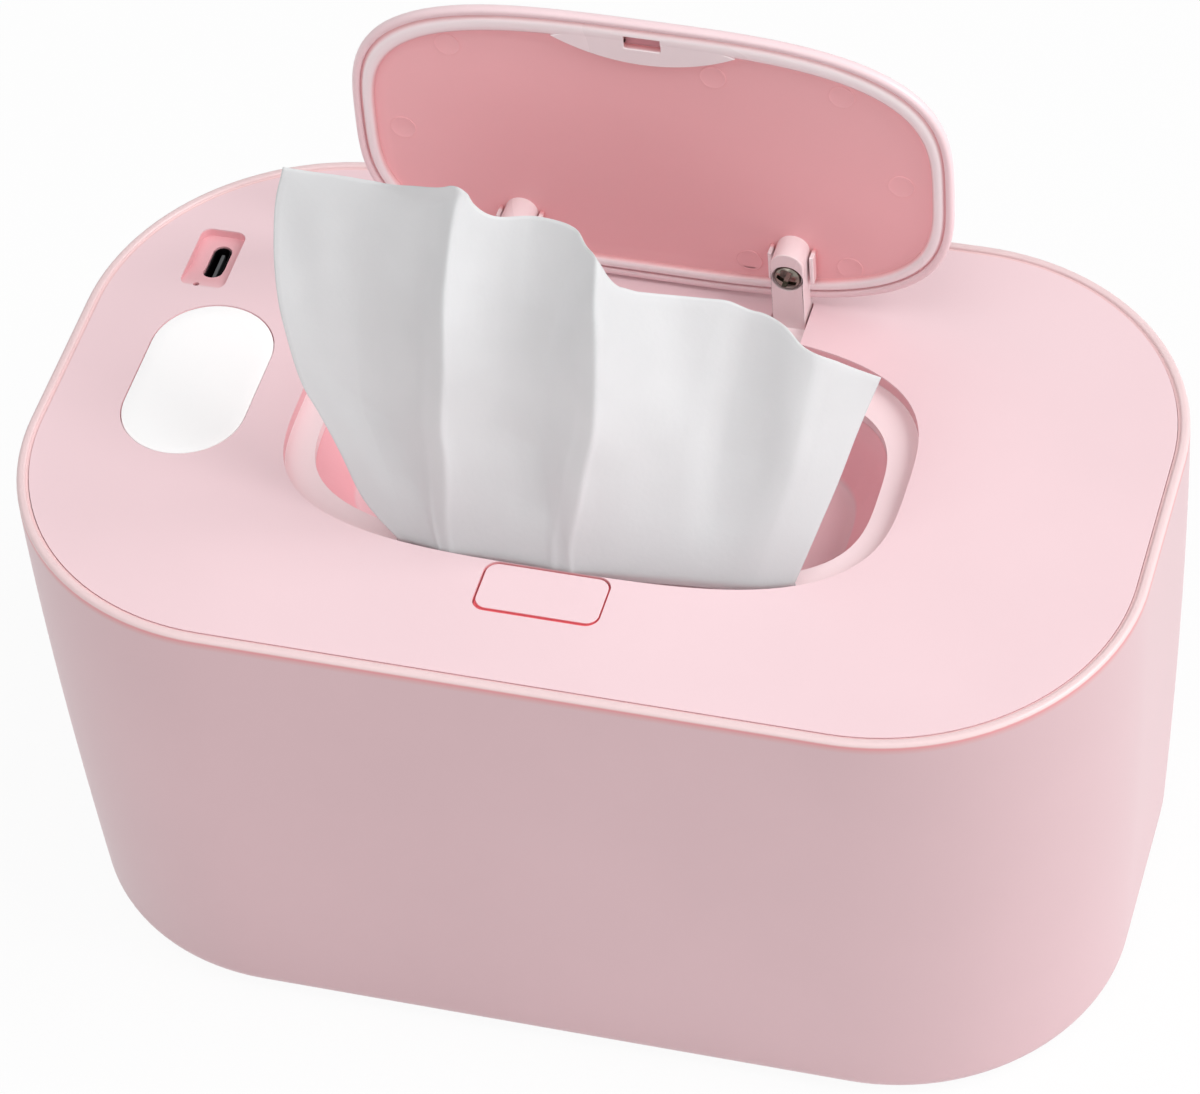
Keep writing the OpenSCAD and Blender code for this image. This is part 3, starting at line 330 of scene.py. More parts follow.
def body_ring(r, z):
    """The body's outline with corners of radius r about the shared corner centres."""
    centres = ((CORNER_X, CORNER_Y), (-CORNER_X, CORNER_Y), (-CORNER_X, -CORNER_Y), (CORNER_X, -CORNER_Y))
    corners = [arc(cx, cy, r, 90 * k, 90 * k + 90, CORNER_STEPS) for k, (cx, cy) in enumerate(centres)]
    pts = []
    for corner, following in zip(corners, corners[1:] + corners[:1]):
        (x0, y0), (x1, y1) = corner[-1], following[0]
        pts += corner + [(x0 + (x1 - x0) * t, y0 + (y1 - y0) * t) for t in (0.25, 0.5, 0.75)]
    return [(x, y, z) for x, y in pts]


OVAL_STEPS = 144


def oval_ring(a, b, cy, z):
    """Soft oval of half-width a and half-depth b. The angle is stretched with it, which spreads the points."""
    pts = []
    for i in range(OVAL_STEPS):
        t = 2 * math.pi * i / OVAL_STEPS
        x, y = math.cos(t) * a, math.sin(t) * b
        r = 1 / (abs(x / a) ** POWER + abs(y / b) ** POWER) ** (1 / POWER)
        pts.append((x * r, cy + y * r, z))
    return pts


def between(a, b, t, z):
    """A ring at height z, the share t of the way from ring a to ring b."""
    return [(p[0] + (q[0] - p[0]) * t, p[1] + (q[1] - p[1]) * t, z) for p, q in zip(a, b)]


def lean(z):
    """How far the wall stands in from the rim at height z."""
    return LEAN * (1 - z / BODY_H) ** 1.7


def oval_xy(a, b, cy):
    return [(x, y) for x, y, z in oval_ring(a, b, cy, 0)]


def outline_xy(r):
    return [(x, y) for x, y, z in body_ring(r, 0)]


def circle_xy(cx, cy, r, n):
    return [(cx + r * math.cos(2 * math.pi * i / n), cy + r * math.sin(2 * math.pi * i / n)) for i in range(n)]


def crescent_xy(y):
    return circle_xy(0, y - TAB_R, TAB_R, 96)


def round_rect(w, d, r, cx, cy, steps=10):
    pts = []
    for k, (sx, sy) in enumerate(((1, 1), (-1, 1), (-1, -1), (1, -1))):
        pts += arc(cx + sx * (w / 2 - r), cy + sy * (d / 2 - r), r, 90 * k, 90 * k + 90, steps)
    return pts


def prism(outline, z0, z1):
    """A prism over a closed outline of (x, y) points."""
    return skin([[(x, y, z0) for x, y in outline], [(x, y, z1) for x, y in outline]])


def side_prism(outline, x0, x1):
    """A prism along X over an outline of (y, z) points."""
    return skin([[(x0, y, z) for y, z in outline], [(x1, y, z) for y, z in outline]])


def block(x0, x1, y0, y1, z0, z1):
    return prism([(x0, y0), (x1, y0), (x1, y1), (x0, y1)], z0, z1)


def lathe(profile, steps, at):
    """Turned shape about Z from (radius, height) points; the first and last lie on the axis."""
    bm = bmesh.new()
    rings = []
    for r, z in profile[1:-1]:
        rings.append([bm.verts.new((r * MM * math.cos(2 * math.pi * i / steps),
                                    r * MM * math.sin(2 * math.pi * i / steps), z * MM)) for i in range(steps)])
    for a, b in zip(rings, rings[1:]):
        for i in range(steps):
            bm.faces.new((a[i], a[(i + 1) % steps], b[(i + 1) % steps], b[i]))
    for ring, (_, z) in ((rings[0], profile[0]), (rings[-1], profile[-1])):
        tip = bm.verts.new((0, 0, z * MM))
        for i in range(steps):
            bm.faces.new((ring[i], ring[(i + 1) % steps], tip))
    bmesh.ops.recalc_face_normals(bm, faces=bm.faces)
    bmesh.ops.translate(bm, vec=Vector(at) * MM, verts=bm.verts)
    return bm


def merge(target, source):
    mesh = bpy.data.meshes.new("part")
    source.to_mesh(mesh)
    source.free()
    target.from_mesh(mesh)
    bpy.data.meshes.remove(mesh)


def add_boolean(obj, kind, tool):
    mod = obj.modifiers.new("cut", "BOOLEAN")
    mod.operation = kind
    mod.solver = "EXACT"
    mod.object = tool


def applied(obj, tools):
    """obj with its booleans applied, as a bmesh; obj and the tools are deleted."""
    mesh = bpy.data.meshes.new_from_object(obj.evaluated_get(bpy.context.evaluated_depsgraph_get()))
    bm = bmesh.new()
    bm.from_mesh(mesh)
    bpy.data.meshes.remove(mesh)
    for other in tools + [obj]:
        old = other.data
        bpy.data.objects.remove(other)
        bpy.data.meshes.remove(old)
    return bm


def carve(base, adds=(), cuts=()):
    """base with adds joined to it and cuts taken out; every one is a bmesh."""
    obj = to_object(base, "scratch")
    tools = []
    for kind, group in (("UNION", adds), ("DIFFERENCE", cuts)):
        for bm in group:
            tools.append(to_object(bm, "tool"))
            add_boolean(obj, kind, tools[-1])
    bm = applied(obj, tools)
    bmesh.ops.remove_doubles(bm, verts=bm.verts, dist=2e-6)
    bmesh.ops.dissolve_limit(bm, angle_limit=math.radians(0.6), verts=bm.verts, edges=bm.edges)
    return bm


def common(first, second):
    """What two bmeshes have in common."""
    obj, tool = to_object(first, "scratch"), to_object(second, "tool")
    add_boolean(obj, "INTERSECT", tool)
    return applied(obj, [tool])


def soften(obj, width, angle=38.0, segments=3):
    """Rounds the edges sharper than angle; width in millimetres."""
    mod = obj.modifiers.new("edges", "BEVEL")
    mod.width = width * MM
    mod.segments = segments
    mod.limit_method = "ANGLE"
    mod.angle_limit = math.radians(angle)
    mod.harden_normals = True
    mod.use_clamp_overlap = True
    mod.miter_outer = "MITER_ARC"


def opened(bm):
    """Turns a bmesh drawn with the lid closed to the open place."""
    pivot = Vector((0, HINGE_Y, HINGE_Z)) * MM
    bmesh.ops.rotate(bm, cent=pivot, matrix=Matrix.Rotation(math.radians(-LID_ANGLE), 3, "X"), verts=bm.verts)
    return bm


# ---------- body ----------
# All round, as the radius of the corners and the height: underside, outer wall, rim, inner side
HUB_R = 20.0  # radius at which the floor's rings end
EDGE_R, EDGE_Z = 4.0, FOOT + 4  # the round lower edge
RIM_T, RIM_OUT, RIM_IN = 1.7, 0.8, 0.45  # the rim's thickness and its two roundings
WALL_STEPS = 16
profile = [(HUB_R, FOOT), (RIM_R - lean(EDGE_Z) - 5.2, FOOT)]
profile += arc(RIM_R - lean(EDGE_Z) - EDGE_R, EDGE_Z, EDGE_R, -90, -4, 10)
for k in range(WALL_STEPS + 1):
    z = EDGE_Z + k * (BODY_H - 2.2 - FOOT - 4) / WALL_STEPS
    profile.append((RIM_R - lean(z), z))
profile += arc(RIM_R - RIM_OUT, BODY_H - RIM_OUT, RIM_OUT, 12, 90, 5)
profile += arc(RIM_R - RIM_T + RIM_IN, BODY_H - RIM_IN, RIM_IN, 90, 180, 4)
for inset, z in ((1.74, 101.46), (2.18, 101.4), (2.15, 98.0), (1.7, 97.8), (1.7, 95.0), (3.9, 95.0), (3.9, 94.0),
                 (2.25, 92.0), (2.2 + lean(30), 30.0), (7.3, 3.4), (RIM_R - HUB_R, 3.4)):
    profile.append((RIM_R - inset, z))
finish_mesh("body_skin", skin([body_ring(r, z) for r, z in profile]), shell_pink, "base", stands_for=("body_shell",))

# ---------- cover plate ----------
SKIRT_R, SKIRT_T, SKIRT_LOW, SKIRT_TOP = PLATE_R - 0.001, 1.8, 97.2, 99.9
skirt = skin([body_ring(r, z) for r, z in ((SKIRT_R, SKIRT_LOW), (SKIRT_R, SKIRT_TOP), (PLATE_R - SKIRT_T, SKIRT_TOP),
                                           (PLATE_R - SKIRT_T, SKIRT_LOW))], loop=True)
adds = [skirt, prism(oval_xy(OPEN_A + 1.2, OPEN_B + 1.2, OPEN_Y), 96.8, COVER_Z - 0.6),
        prism(round_rect(9.6, 13.2, 2, SOCKET_X + 0.6, SOCKET_Y - 0.8), 98.4, COVER_Z - 1.2)]
well_hole = carve(prism(oval_xy(WELL_A, WELL_B, WELL_Y), 95, 103), cuts=[prism(crescent_xy(SHELF_Y), 94, ABOVE)])
cuts = [prism(oval_xy(OPEN_A, OPEN_B, OPEN_Y), LEDGE_Z, ABOVE), well_hole]
for x in (-ARM_X, ARM_X):
    cuts.append(prism(round_rect(ARM_W + 0.8, ARM_SLOT_D, 0.4, x, ARM_SLOT_Y, 3), 95.8, ABOVE))
cuts += [prism(round_rect(BUTTON_W, BUTTON_D, BUTTON_R, 0, BUTTON_Y), 97.5, ABOVE),
         prism(round_rect(BUTTON_W, BUTTON_D - 1.2, BUTTON_R, 0, BUTTON_Y - 0.6), 95, 98),
         prism(round_rect(WINDOW_W, WINDOW_L, WINDOW_W / 2 - 0.1, WINDOW_X, 0, 20), 95, ABOVE),
         prism(round_rect(6.6, 3.5, 0.3, 0, HOOK_Y + 0.45, 3), 95, ABOVE)]
# The hollow round the socket slopes down from its front end and stays level from there on
scoop_back = SCOOP_Y + SCOOP_RUN + 1
slope = side_prism([(SCOOP_Y, ABOVE), (SCOOP_Y, COVER_Z - 0.1), (SCOOP_Y + SCOOP_RUN * 0.45, COVER_Z - SCOOP),
                    (scoop_back, COVER_Z - SCOOP), (scoop_back, ABOVE)], SOCKET_X - 6, SOCKET_X + 5)
column = prism(round_rect(8.8, SCOOP_RUN, 2, SOCKET_X - 0.5, SCOOP_Y + SCOOP_RUN / 2), 95, 110)
cuts += [common(slope, column), prism(round_rect(3.66, 9.44, 1.8, SOCKET_X, SOCKET_Y), 90, ABOVE),
         prism(circle_xy(LIGHT_X, LIGHT_Y, 0.6, 20), 90, ABOVE)]
plate = carve(prism(outline_xy(PLATE_R), COVER_Z - PLATE_T, COVER_Z), adds, cuts)
soften(finish_mesh("cover_skin", plate, cover_pink, "cover", stands_for=("cover_plate",)), 0.42)

# Hinge lugs and screw posts, which end just under the plate's underside
LUG_X, LUG_W, LUG_R, LUG_TOP = (14.6, 29.4), 2.6, 3.6, 99.35
POST_TOP = 99.38
POSTS = ((3, 83.82, ((70, 44), (-70, 44), (70, -44), (-70, -44), (34, 47), (-34, 47))),  # radius, foot, places
         (2.4, 91.62, ((-64.2, 24), (-64.2, -26), (-84.2, -22))),
         (2.6, 94.62, ((17.5, -45.5), (-17.5, -45.5))))
bm = bmesh.new()
for s in (-1, 1):
    for x in LUG_X:
        x0, x1 = sorted((s * x, s * (x + LUG_W)))
        lug = [(HINGE_Y - LUG_R, LUG_TOP), (HINGE_Y - LUG_R, HINGE_Z)]
        lug += arc(HINGE_Y, HINGE_Z, LUG_R, 180, 360, 16)[1:] + [(HINGE_Y + LUG_R, LUG_TOP)]
        merge(bm, side_prism(lug, x0, x1))
for r, z, places in POSTS:
    for x, y in places:
        merge(bm, prism(circle_xy(x, y, r, 32), z, POST_TOP))
soften(finish_mesh("cover_posts", bm, cover_pink, "cover"), 0.3)


# ---------- well ----------
def well_ring(inset, z):
    return oval_ring(WELL_A - inset, WELL_B - inset, WELL_Y, z)


FALL = LEDGE_Z - 2 - WELL_Z  # height of the well's wall
FLANGE_Z = 95.32  # underside of the flange behind the ledge
rings = [well_ring(-3.4, FLANGE_Z), well_ring(-3.4, 96.76), well_ring(-0.3, 96.76)]
rings += [well_ring(0.3 + 6 * t, 96.7 - (FALL - 0.1) * t) for t in (0.05, 0.3, 0.6, 0.85, 0.95)]
for a in (20, 45, 70, 90):
    rings.append(well_ring(6.15 + 1.6 * (1 - math.cos(math.radians(a))),
                           WELL_Z + 0.6 - 0.6 * math.sin(math.radians(a))))
for a, b, z in ((34.6, 12.6, WELL_Z), (33.0, 11.0, WELL_Z), (33.0, 11.0, WELL_Z - 1.4)):
    rings.append(oval_ring(a, b, WELL_Y, z))
rings += [well_ring(5.5, WELL_Z - 1.4), well_ring(-0.9, FLANGE_Z)]
# The wall of the latch's pocket, under the middle of the crescent shelf
pocket = carve(prism(crescent_xy(SHELF_Y + 0.3), 92.0, 96.75),
               cuts=[block(-60, 60, -120, -27.6, 80, 99), block(-40, -9, -30, 0, 80, 99), block(40, 9, -30, 0, 80, 99)])
notches = [block(x - 3.6, x + 3.6, 13.2, 44, 92.4, 100) for x in (-ARM_X, ARM_X)]
finish_mesh("well_skin", carve(skin(rings, loop=True), adds=[pocket], cuts=notches), well_pink, "cover", sharp=50,
            stands_for=("well_insert",))

# ---------- gate ----------
# A known fault: the bottom face points inwards here (outward=True would turn it), so the boolean leaves out both parts
# below the well's floor, and the mesh is open on that hidden side
rings = []
for a, b, up in ((36, 14, 0.05), (36, 14, 0.75), (35.7, 13.7, 1.0), (33.5, 11.5, 1.05), (32.6, 10.6, 0.75),
                 (30.0, 9.6, 0.7)):
    rings.append(oval_ring(a, b, WELL_Y, WELL_Z + up))
gate = carve(skin(rings, outward=False), cuts=[prism(round_rect(SLIT_W, SLIT_D, 1.45, 0, SLIT_Y), 80, 90)],
             adds=[prism(oval_xy(32.9, 10.9, WELL_Y), WELL_Z - 1.9, WELL_Z + 0.3),
                   prism(oval_xy(35, 13, WELL_Y), WELL_Z - 2.3, WELL_Z - 1.46)])
soften(finish_mesh("gate_skin", gate, gate_pink, "cover", stands_for=("gate",)), 0.15)

# ---------- button ----------
# A cap with a narrow step round it, and below it the pad and the stem with the slope that moves the latch
cap = prism(round_rect(BUTTON_W - 0.8, BUTTON_D - 1.25, BUTTON_R - 0.3, 0, BUTTON_Y + 0.27, 14), COVER_Z - 1.4,
            COVER_Z - 0.15)
step = prism(round_rect(BUTTON_W - 0.12, BUTTON_D - 0.12, BUTTON_R - 0.06, 0, BUTTON_Y, 14), COVER_Z - 2.2,
             COVER_Z - 0.8)
soften(finish_mesh("button_cap", carve(cap, adds=[step]), button_pink, "button"), 0.45, segments=4)
pad = carve(block(-13.1, 13.1, -46.2, -34.7, 98.2, 99.2), adds=[block(-10.4, 10.4, -43.9, -35.8, 98.7, 99.5)])
merge(pad, side_prism([(-43.6, 98.7), (-40.1, 92.8), (-38.9, 92.8), (-38.9, 98.7)], -3, 3))
finish_mesh("button_base", pad, white_plastic, "button", stands_for=("release_button",))


def coil(name, r, wire, turns, length, turn, place, node):
    """Compression spring between two seats, turned by turn and set at place."""
    per, sides = 28, 10
    rings = []
    for i in range(int(turns * per) + 1):
        a = 2 * math.pi * i / per
        z = wire / 2 + (length - wire) * i / (turns * per)
        ring = []
        for j in range(sides):
            b = 2 * math.pi * j / sides
            out = r + wire / 2 * math.cos(b)
            ring.append((out * math.cos(a), out * math.sin(a), z + wire / 2 * math.sin(b)))
        rings.append(ring)
    bm = skin(rings)
    bmesh.ops.transform(bm, matrix=turn, verts=bm.verts)
    bmesh.ops.translate(bm, vec=Vector(place) * MM, verts=bm.verts)
    obj = finish_mesh(name, bm, steel, "cover", sharp=60, stands_for=(node,))
    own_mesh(obj)


coil("button_coil", 1.5, 0.4, 4, 4.5, Matrix.Identity(4), (0, BUTTON_Y - 1.2, 88.23), "button_spring")
coil("latch_coil", 1.0, 0.4, 4, 5.9, Matrix.Rotation(math.radians(-90), 4, "X"), (0, -50.58, 94.7), "latch_spring")

# ---------- window lens ----------
rings = []
for grow, z in ((1.8, 98.6), (1.8, 99.36), (-0.3, 99.36), (-0.3, COVER_Z - 0.3), (-0.5, COVER_Z - 0.1),
                (-0.9, COVER_Z - 0.05), (-6, COVER_Z - 0.05)):
    w, l = WINDOW_W + grow, WINDOW_L + grow
    rings.append([(x, y, z) for x, y in round_rect(w, l, w / 2 - 0.05, WINDOW_X, 0, 20)])
finish_mesh("lens_skin", skin(rings), lens_white, "cover", stands_for=("display_lens",))

# ---------- socket ----------
SOCKET_STRETCH = 5.78  # how much longer than wide the opening is
rings = []
for w, z in ((3.16, 91.62), (3.16, 99.45), (3.0, 99.6), (2.72, 99.6), (2.56, 99.45), (2.56, 92.6)):
    outline = round_rect(w, w + SOCKET_STRETCH, w / 2 - 0.02, SOCKET_X, SOCKET_Y)
    rings.append([(x, y, z) for x, y in outline])
finish_mesh("socket_shell", skin(rings), socket_dark, "cover", stands_for=("usb_shell",))
tongue = prism(round_rect(0.7, 6.7, 0.2, SOCKET_X, SOCKET_Y, 4), 92.62, 98.9)
soften(finish_mesh("socket_tongue", tongue, tongue_grey, "cover", stands_for=("usb_tongue",)),
       0.12)
led = lathe([(0, 91.62), (0.5, 91.62), (0.5, 100.3), (0.42, 100.6), (0.2, 100.75), (0, 100.8)], 24,
            (LIGHT_X, LIGHT_Y, 0))
finish_mesh("light_guide", led, led_red, "cover", stands_for=("charge_light",))

# ---------- lid, drawn shut and then turned open ----------
low, top = COVER_Z - LID_T, COVER_Z
rings = []
for inset, z in ((14, top), (4, top), (2.0, top - 0.04), (1.2, top - 0.14), (0.7, top - 0.34), (0.3, top - 0.68),
                 (0.07, top - 1.1), (0, top - 1.5), (0.03, low + 0.6), (0.2, low + 0.25), (0.5, low + 0.05),
                 (0.75, low), (1.05, low + 0.03), (1.35, low + 0.14), (1.48, low + 0.35), (1.5, low + 0.7),
                 (1.5, top - 1.0), (14, top - 1.0)):
    rings.append(oval_ring(LID_A - inset, LID_B - inset, LID_Y, z))
finish_mesh("lid_skin", opened(skin(rings)), lid_pink, "lid", sharp=60, stands_for=("lid_shell",))

# The raised edge and the panel inside it, between three ovals
IN_A, IN_B = LID_A - BEAD_SIDE, (2 * LID_B - BEAD_FRONT - BEAD_BACK) / 2
IN_Y = LID_Y - LID_B + BEAD_FRONT + IN_B
PANEL_FACE = PANEL_Z + 0.55
BEAD_BASE = 100.58
BEAD_STEPS = 14
outer = oval_ring(LID_A - 1.46, LID_B - 1.46, LID_Y, 0)
inner = oval_ring(IN_A, IN_B, IN_Y, 0)
panel = oval_ring(IN_A - 1.2, IN_B - 1.2, IN_Y, 0)


def hook_slot(grow, z0, z1):
    return block(-3.3 - grow, 3.3 + grow, HOOK_Y - 1.0 - grow, HOOK_Y + 1.6 + grow, z0, z1)


def slotted(bm):
    """bm with the hook's slot cut through."""
    return carve(bm, cuts=[hook_slot(0.1, 97, 100.62)])


rings = [between(outer, inner, 0, BEAD_BASE), between(outer, inner, 0, low + 0.75),
         between(outer, inner, 0.08, low + 0.7)]
for k in range(BEAD_STEPS + 1):
    across = k / BEAD_STEPS
    rings.append(between(outer, inner, 0.1 + 0.9 * across, low - 0.06 + 0.72 * abs(2 * across - 1) ** 2.6))
rings += [between(outer, inner, 1.02, PANEL_FACE + 0.2), between(outer, inner, 0.9, BEAD_BASE)]
finish_mesh("lid_bead", opened(slotted(skin(rings, loop=True))), bead_pink, "lid", sharp=60, stands_for=("lid_liner",))
rings = [between(outer, inner, 0.96, PANEL_FACE + 0.2), between(outer, inner, 0.96, PANEL_FACE - 0.3),
         between(inner, panel, 0.1, PANEL_FACE - 0.16), between(inner, panel, 0.5, PANEL_FACE - 0.03),
         between(inner, panel, 1.2, PANEL_FACE), between(inner, panel, 6, PANEL_FACE)]
finish_mesh("lid_panel", opened(slotted(skin(rings))), liner_pink, "lid", sharp=60)

# The round tab that the hook catches, and the dark floor of its slot
TAB_STEPS = 40
edge_y = IN_Y - IN_B
tab = []
for i in range(TAB_STEPS + 1):
    x = TAB_W / 2 * (1 - 2 * i / TAB_STEPS)
    tab.append((x, edge_y + TAB_REACH - TAB_R + math.sqrt(TAB_R ** 2 - x * x)))
tab += [(x, edge_y - 1.2) for x in (-14, -7, 0, 7, 14)]
tab_bm = slotted(prism(tab, low - 0.02, PANEL_FACE + 0.2))
soften(finish_mesh("lid_tab", opened(tab_bm), bead_pink, "lid"), 0.22)
finish_mesh("lid_tab_floor", opened(hook_slot(0, 100.5, 100.64)), pink_rubber, "lid")

# Ribs beside the arms, and the round marks of the moulding pins
bm = bmesh.new()
for x in (-ARM_X, ARM_X):
    for s in (-1, 1):
        c = x + s * (ARM_W / 2 + 0.8)
        merge(bm, block(c - 0.4, c + 0.4, 16.8, 23.2, low - 1.4, PANEL_FACE + 0.1))
soften(finish_mesh("lid_ribs", opened(bm), bead_pink, "lid"), 0.25)
MARKS = ((-37.3, 51.1), (-47.5, 29.5), (12.4, 51.6), (36.1, 51.0), (46.5, 31.6), (36.4, 9.9), (17.4, 8.3))
mark = [(0, 0.1), (2.5, 0.1), (2.5, -0.06), (2.38, -0.13), (2.2, -0.08), (2.0, -0.03), (0, -0.03)]
bm = bmesh.new()
for x, up in MARKS:  # up is the height above the cover with the lid open
    merge(bm, lathe([(r, PANEL_FACE + z) for r, z in mark], 32, (x, HINGE_Y - (up + COVER_Z - HINGE_Z), 0)))
finish_mesh("lid_marks", opened(bm), liner_pink, "lid")

# ---------- hinge arms ----------
r = ARM_W / 2
SEAT_Z = PANEL_Z - ARM_T + 0.9  # where the screw's head sits in its sink
for side, x in (("left", -ARM_X), ("right", ARM_X)):
    plan = [(x + r, HINGE_Y), (x + r, ARM_END_Y + r)] + arc(x, ARM_END_Y + r, r, 0, -180, 24)[1:-1] \
        + [(x - r, ARM_END_Y + r), (x - r, HINGE_Y)]
    knuckle = side_prism(arc(HINGE_Y, HINGE_Z, 4.6, 0, 352.5, 47), x - r, x + r)
    pin_hole = side_prism(arc(HINGE_Y, HINGE_Z, 1.55, 0, 345, 23), x - 10, x + 10)
    sink = prism(circle_xy(x, SCREW_Y, 2.85, 40), PANEL_Z - ARM_T - 1, SEAT_Z)
    arm = carve(prism(plan, PANEL_Z - ARM_T, PANEL_FACE + 0.1), adds=[knuckle], cuts=[pin_hole, sink])
    obj = finish_mesh(f"arm_{side}_skin", opened(arm), arm_pink, "lid", stands_for=(f"hinge_arm_{side}",))
    soften(obj, 0.7, angle=50, segments=4)

# Pan-head screws in the arms, with a cross recess
HEAD_R, HEAD_EDGE, HEAD_DOME = 2.6, 0.25, 1.35
CROSS_L, CROSS_W = 1.9, 0.44  # half sizes of each slot of the cross
dome = [(0, SEAT_Z), (HEAD_R, SEAT_Z), (HEAD_R, SEAT_Z - HEAD_EDGE)]
for a in (15, 30, 45, 60, 75):
    dome.append((HEAD_R * math.cos(math.radians(a)), SEAT_Z - HEAD_EDGE - HEAD_DOME * math.sin(math.radians(a))))
dome.append((0, SEAT_Z - 1.6))
bm = bmesh.new()
for x in (-ARM_X, ARM_X):
    cuts = []
    for a in (20, 110):
        c, s = math.cos(math.radians(a)), math.sin(math.radians(a))
        box = [(CROSS_L, CROSS_W), (-CROSS_L, CROSS_W), (-CROSS_L, -CROSS_W), (CROSS_L, -CROSS_W)]
        cuts.append(prism([(x + c * u - s * v, SCREW_Y + s * u + c * v) for u, v in box], SEAT_Z - 3, SEAT_Z - 0.35))
    merge(bm, carve(lathe(dome, 48, (x, SCREW_Y, 0)), cuts=cuts))
    merge(bm, prism(circle_xy(x, SCREW_Y, 1.0, 24), SEAT_Z - 0.02, SEAT_Z + 3.3))
screws = finish_mesh("arm_screw_heads", opened(bm), screw_steel, "lid", stands_for=("arm_screws",))
soften(screws, 0.08, segments=2)

# ---------- wipe ----------
FRONT_Y = -31.6  # where it leans on the ledge, at the middle
# Across the sheet (0 left, 1 right): x and z of its top edge
TOP = [(0, -53.5, 159.6), (0.08, -44.5, 160.5), (0.16, -34.2, 162.4), (0.23, -25.2, 165.2), (0.262, -21.2, 165.6),
       (0.285, -19.1, 163.6), (0.308, -17.6, 159.8), (0.345, -14.2, 158.1), (0.43, -5.6, 159.8), (0.475, 0.2, 160.8),
       (0.497, 2.6, 160.2), (0.515, 4.4, 156.6), (0.54, 6.4, 150.3), (0.562, 9.0, 148.2), (0.69, 23.0, 148.5),
       (0.79, 33.8, 148.8), (0.835, 38.5, 146.7), (0.87, 42.2, 142.8), (0.93, 48.5, 140.2), (1.0, 55.8, 137.4)]
# The same for the place where it bends back over the ledge
BOTTOM = [(0, -29.3, 101.1), (0.12, -25.6, 100.6), (0.278, -19.6, 100.1), (0.311, -17.3, 100.0), (0.428, -6.6, 99.6),
          (0.516, 3.2, 99.4), (0.54, 4.8, 99.4), (0.694, 19.0, 99.8), (0.794, 28.9, 100.1), (0.86, 34.1, 100.5),
          (1.0, 43.0, 101.1)]
# Up the sheet (0 ledge, 1 top): x and z of its left and right edges
LEFT = [(0, -29.3, 101.1), (0.128, -36.4, 106.2), (0.224, -40.6, 111.1), (0.348, -45.9, 117.6), (0.418, -49.0, 121.2),
        (0.56, -52.7, 130.1), (0.638, -54.1, 135.2), (0.8, -55.1, 146.1), (0.907, -54.8, 153.4), (1.0, -53.5, 159.6)]
RIGHT = [(0, 43.0, 101.1), (0.257, 46.4, 110.4), (0.478, 49.3, 118.4), (0.725, 52.2, 127.4), (1.0, 55.8, 137.4)]
# Across the sheet: how far each fold stands out to the front
FOLD = [(0, 0.4), (0.06, 0.3), (0.14, -0.7), (0.21, -2.5), (0.262, -4.6), (0.279, -5.2), (0.292, -4.2), (0.325, -2.7),
        (0.37, -1.7), (0.41, -1.6), (0.45, -2.1), (0.49, -3.4), (0.512, -4.6), (0.522, -5.0), (0.534, -3.8),
        (0.57, -1.5), (0.62, 0.7), (0.68, 2.3), (0.74, 3.0), (0.81, 2.4), (0.86, 1.3), (0.885, 1.1), (0.92, 1.9),
        (0.96, 3.2), (1.0, 4.6)]
# Up the sheet: how far the left and the right folds lie to the right of those places
SHIFT = [(0, 0.015, 0.0), (0.13, 0.032, 0.014), (0.3, 0.050, 0.036), (0.55, 0.058, 0.058), (0.8, 0.030, 0.036),
         (1.0, 0.0, 0.0)]
# Across the sheet: the depth at which its outline was set against the photograph
PLACE = [(0, 0.0), (0.095, -1.5), (0.2, -5.4), (0.245, -6.5), (0.286, -4.5), (0.311, -2.5), (0.36, -2.2),
         (0.428, -3.0), (0.47, -5.2), (0.502, -6.6), (0.521, -4.0), (0.536, -1.2), (0.594, -0.5), (0.727, 0.0),
         (0.794, -2.0), (0.86, -1.2), (1.0, 0.0)]
# A step of 1 back along the camera's line of sight also goes this far across and down
SIGHT_X, SIGHT_Z = -0.351, -1.104


def curve(points, t):
    """Smooth curve through (t, value...) points."""
    i = 0
    while i < len(points) - 2 and t > points[i + 1][0]:
        i += 1
    p0, p1, p2, p3 = points[max(i - 1, 0)], points[i], points[i + 1], points[min(i + 2, len(points) - 1)]
    h = p2[0] - p1[0]
    u = (t - p1[0]) / h
    out = []
    for k in range(1, len(p1)):
        step = (p2[k] - p1[k]) / h
        before = (p1[k] - p0[k]) / (p1[0] - p0[0]) if i > 0 else step
        after = (p3[k] - p2[k]) / (p3[0] - p2[0]) if p3[0] > p2[0] else step
        m1 = 0.0 if before * step <= 0 and i > 0 else (before + step) / 2 * h
        m2 = 0.0 if after * step <= 0 else (after + step) / 2 * h
        out.append((2 * u ** 3 - 3 * u * u + 1) * p1[k] + (u ** 3 - 2 * u * u + u) * m1
                   + (-2 * u ** 3 + 3 * u * u) * p2[k] + (u ** 3 - u * u) * m2)
    return out


def clamp(t):
    return min(1.0, max(0.0, t))


def ease(t):
    t = clamp(t)
    return t * t * (3 - 2 * t)


def patch(u, v, k, left, right, bottom, top):
    """Coordinate k (0 for x, 1 for z) at u, v on the surface stretched between the four edges."""
    corners = ((1 - u) * (1 - v) * BOTTOM[0][k + 1] + u * (1 - v) * BOTTOM[-1][k + 1]
               + (1 - u) * v * TOP[0][k + 1] + u * v * TOP[-1][k + 1])
    return (1 - u) * left[k] + u * right[k] + (1 - v) * bottom[k] + v * top[k] - corners


def bow(x, depth):
    """The sheet bends back towards its sides, by depth at 43 mm from the middle."""
    return depth * (abs(x) / 43) ** 2.6


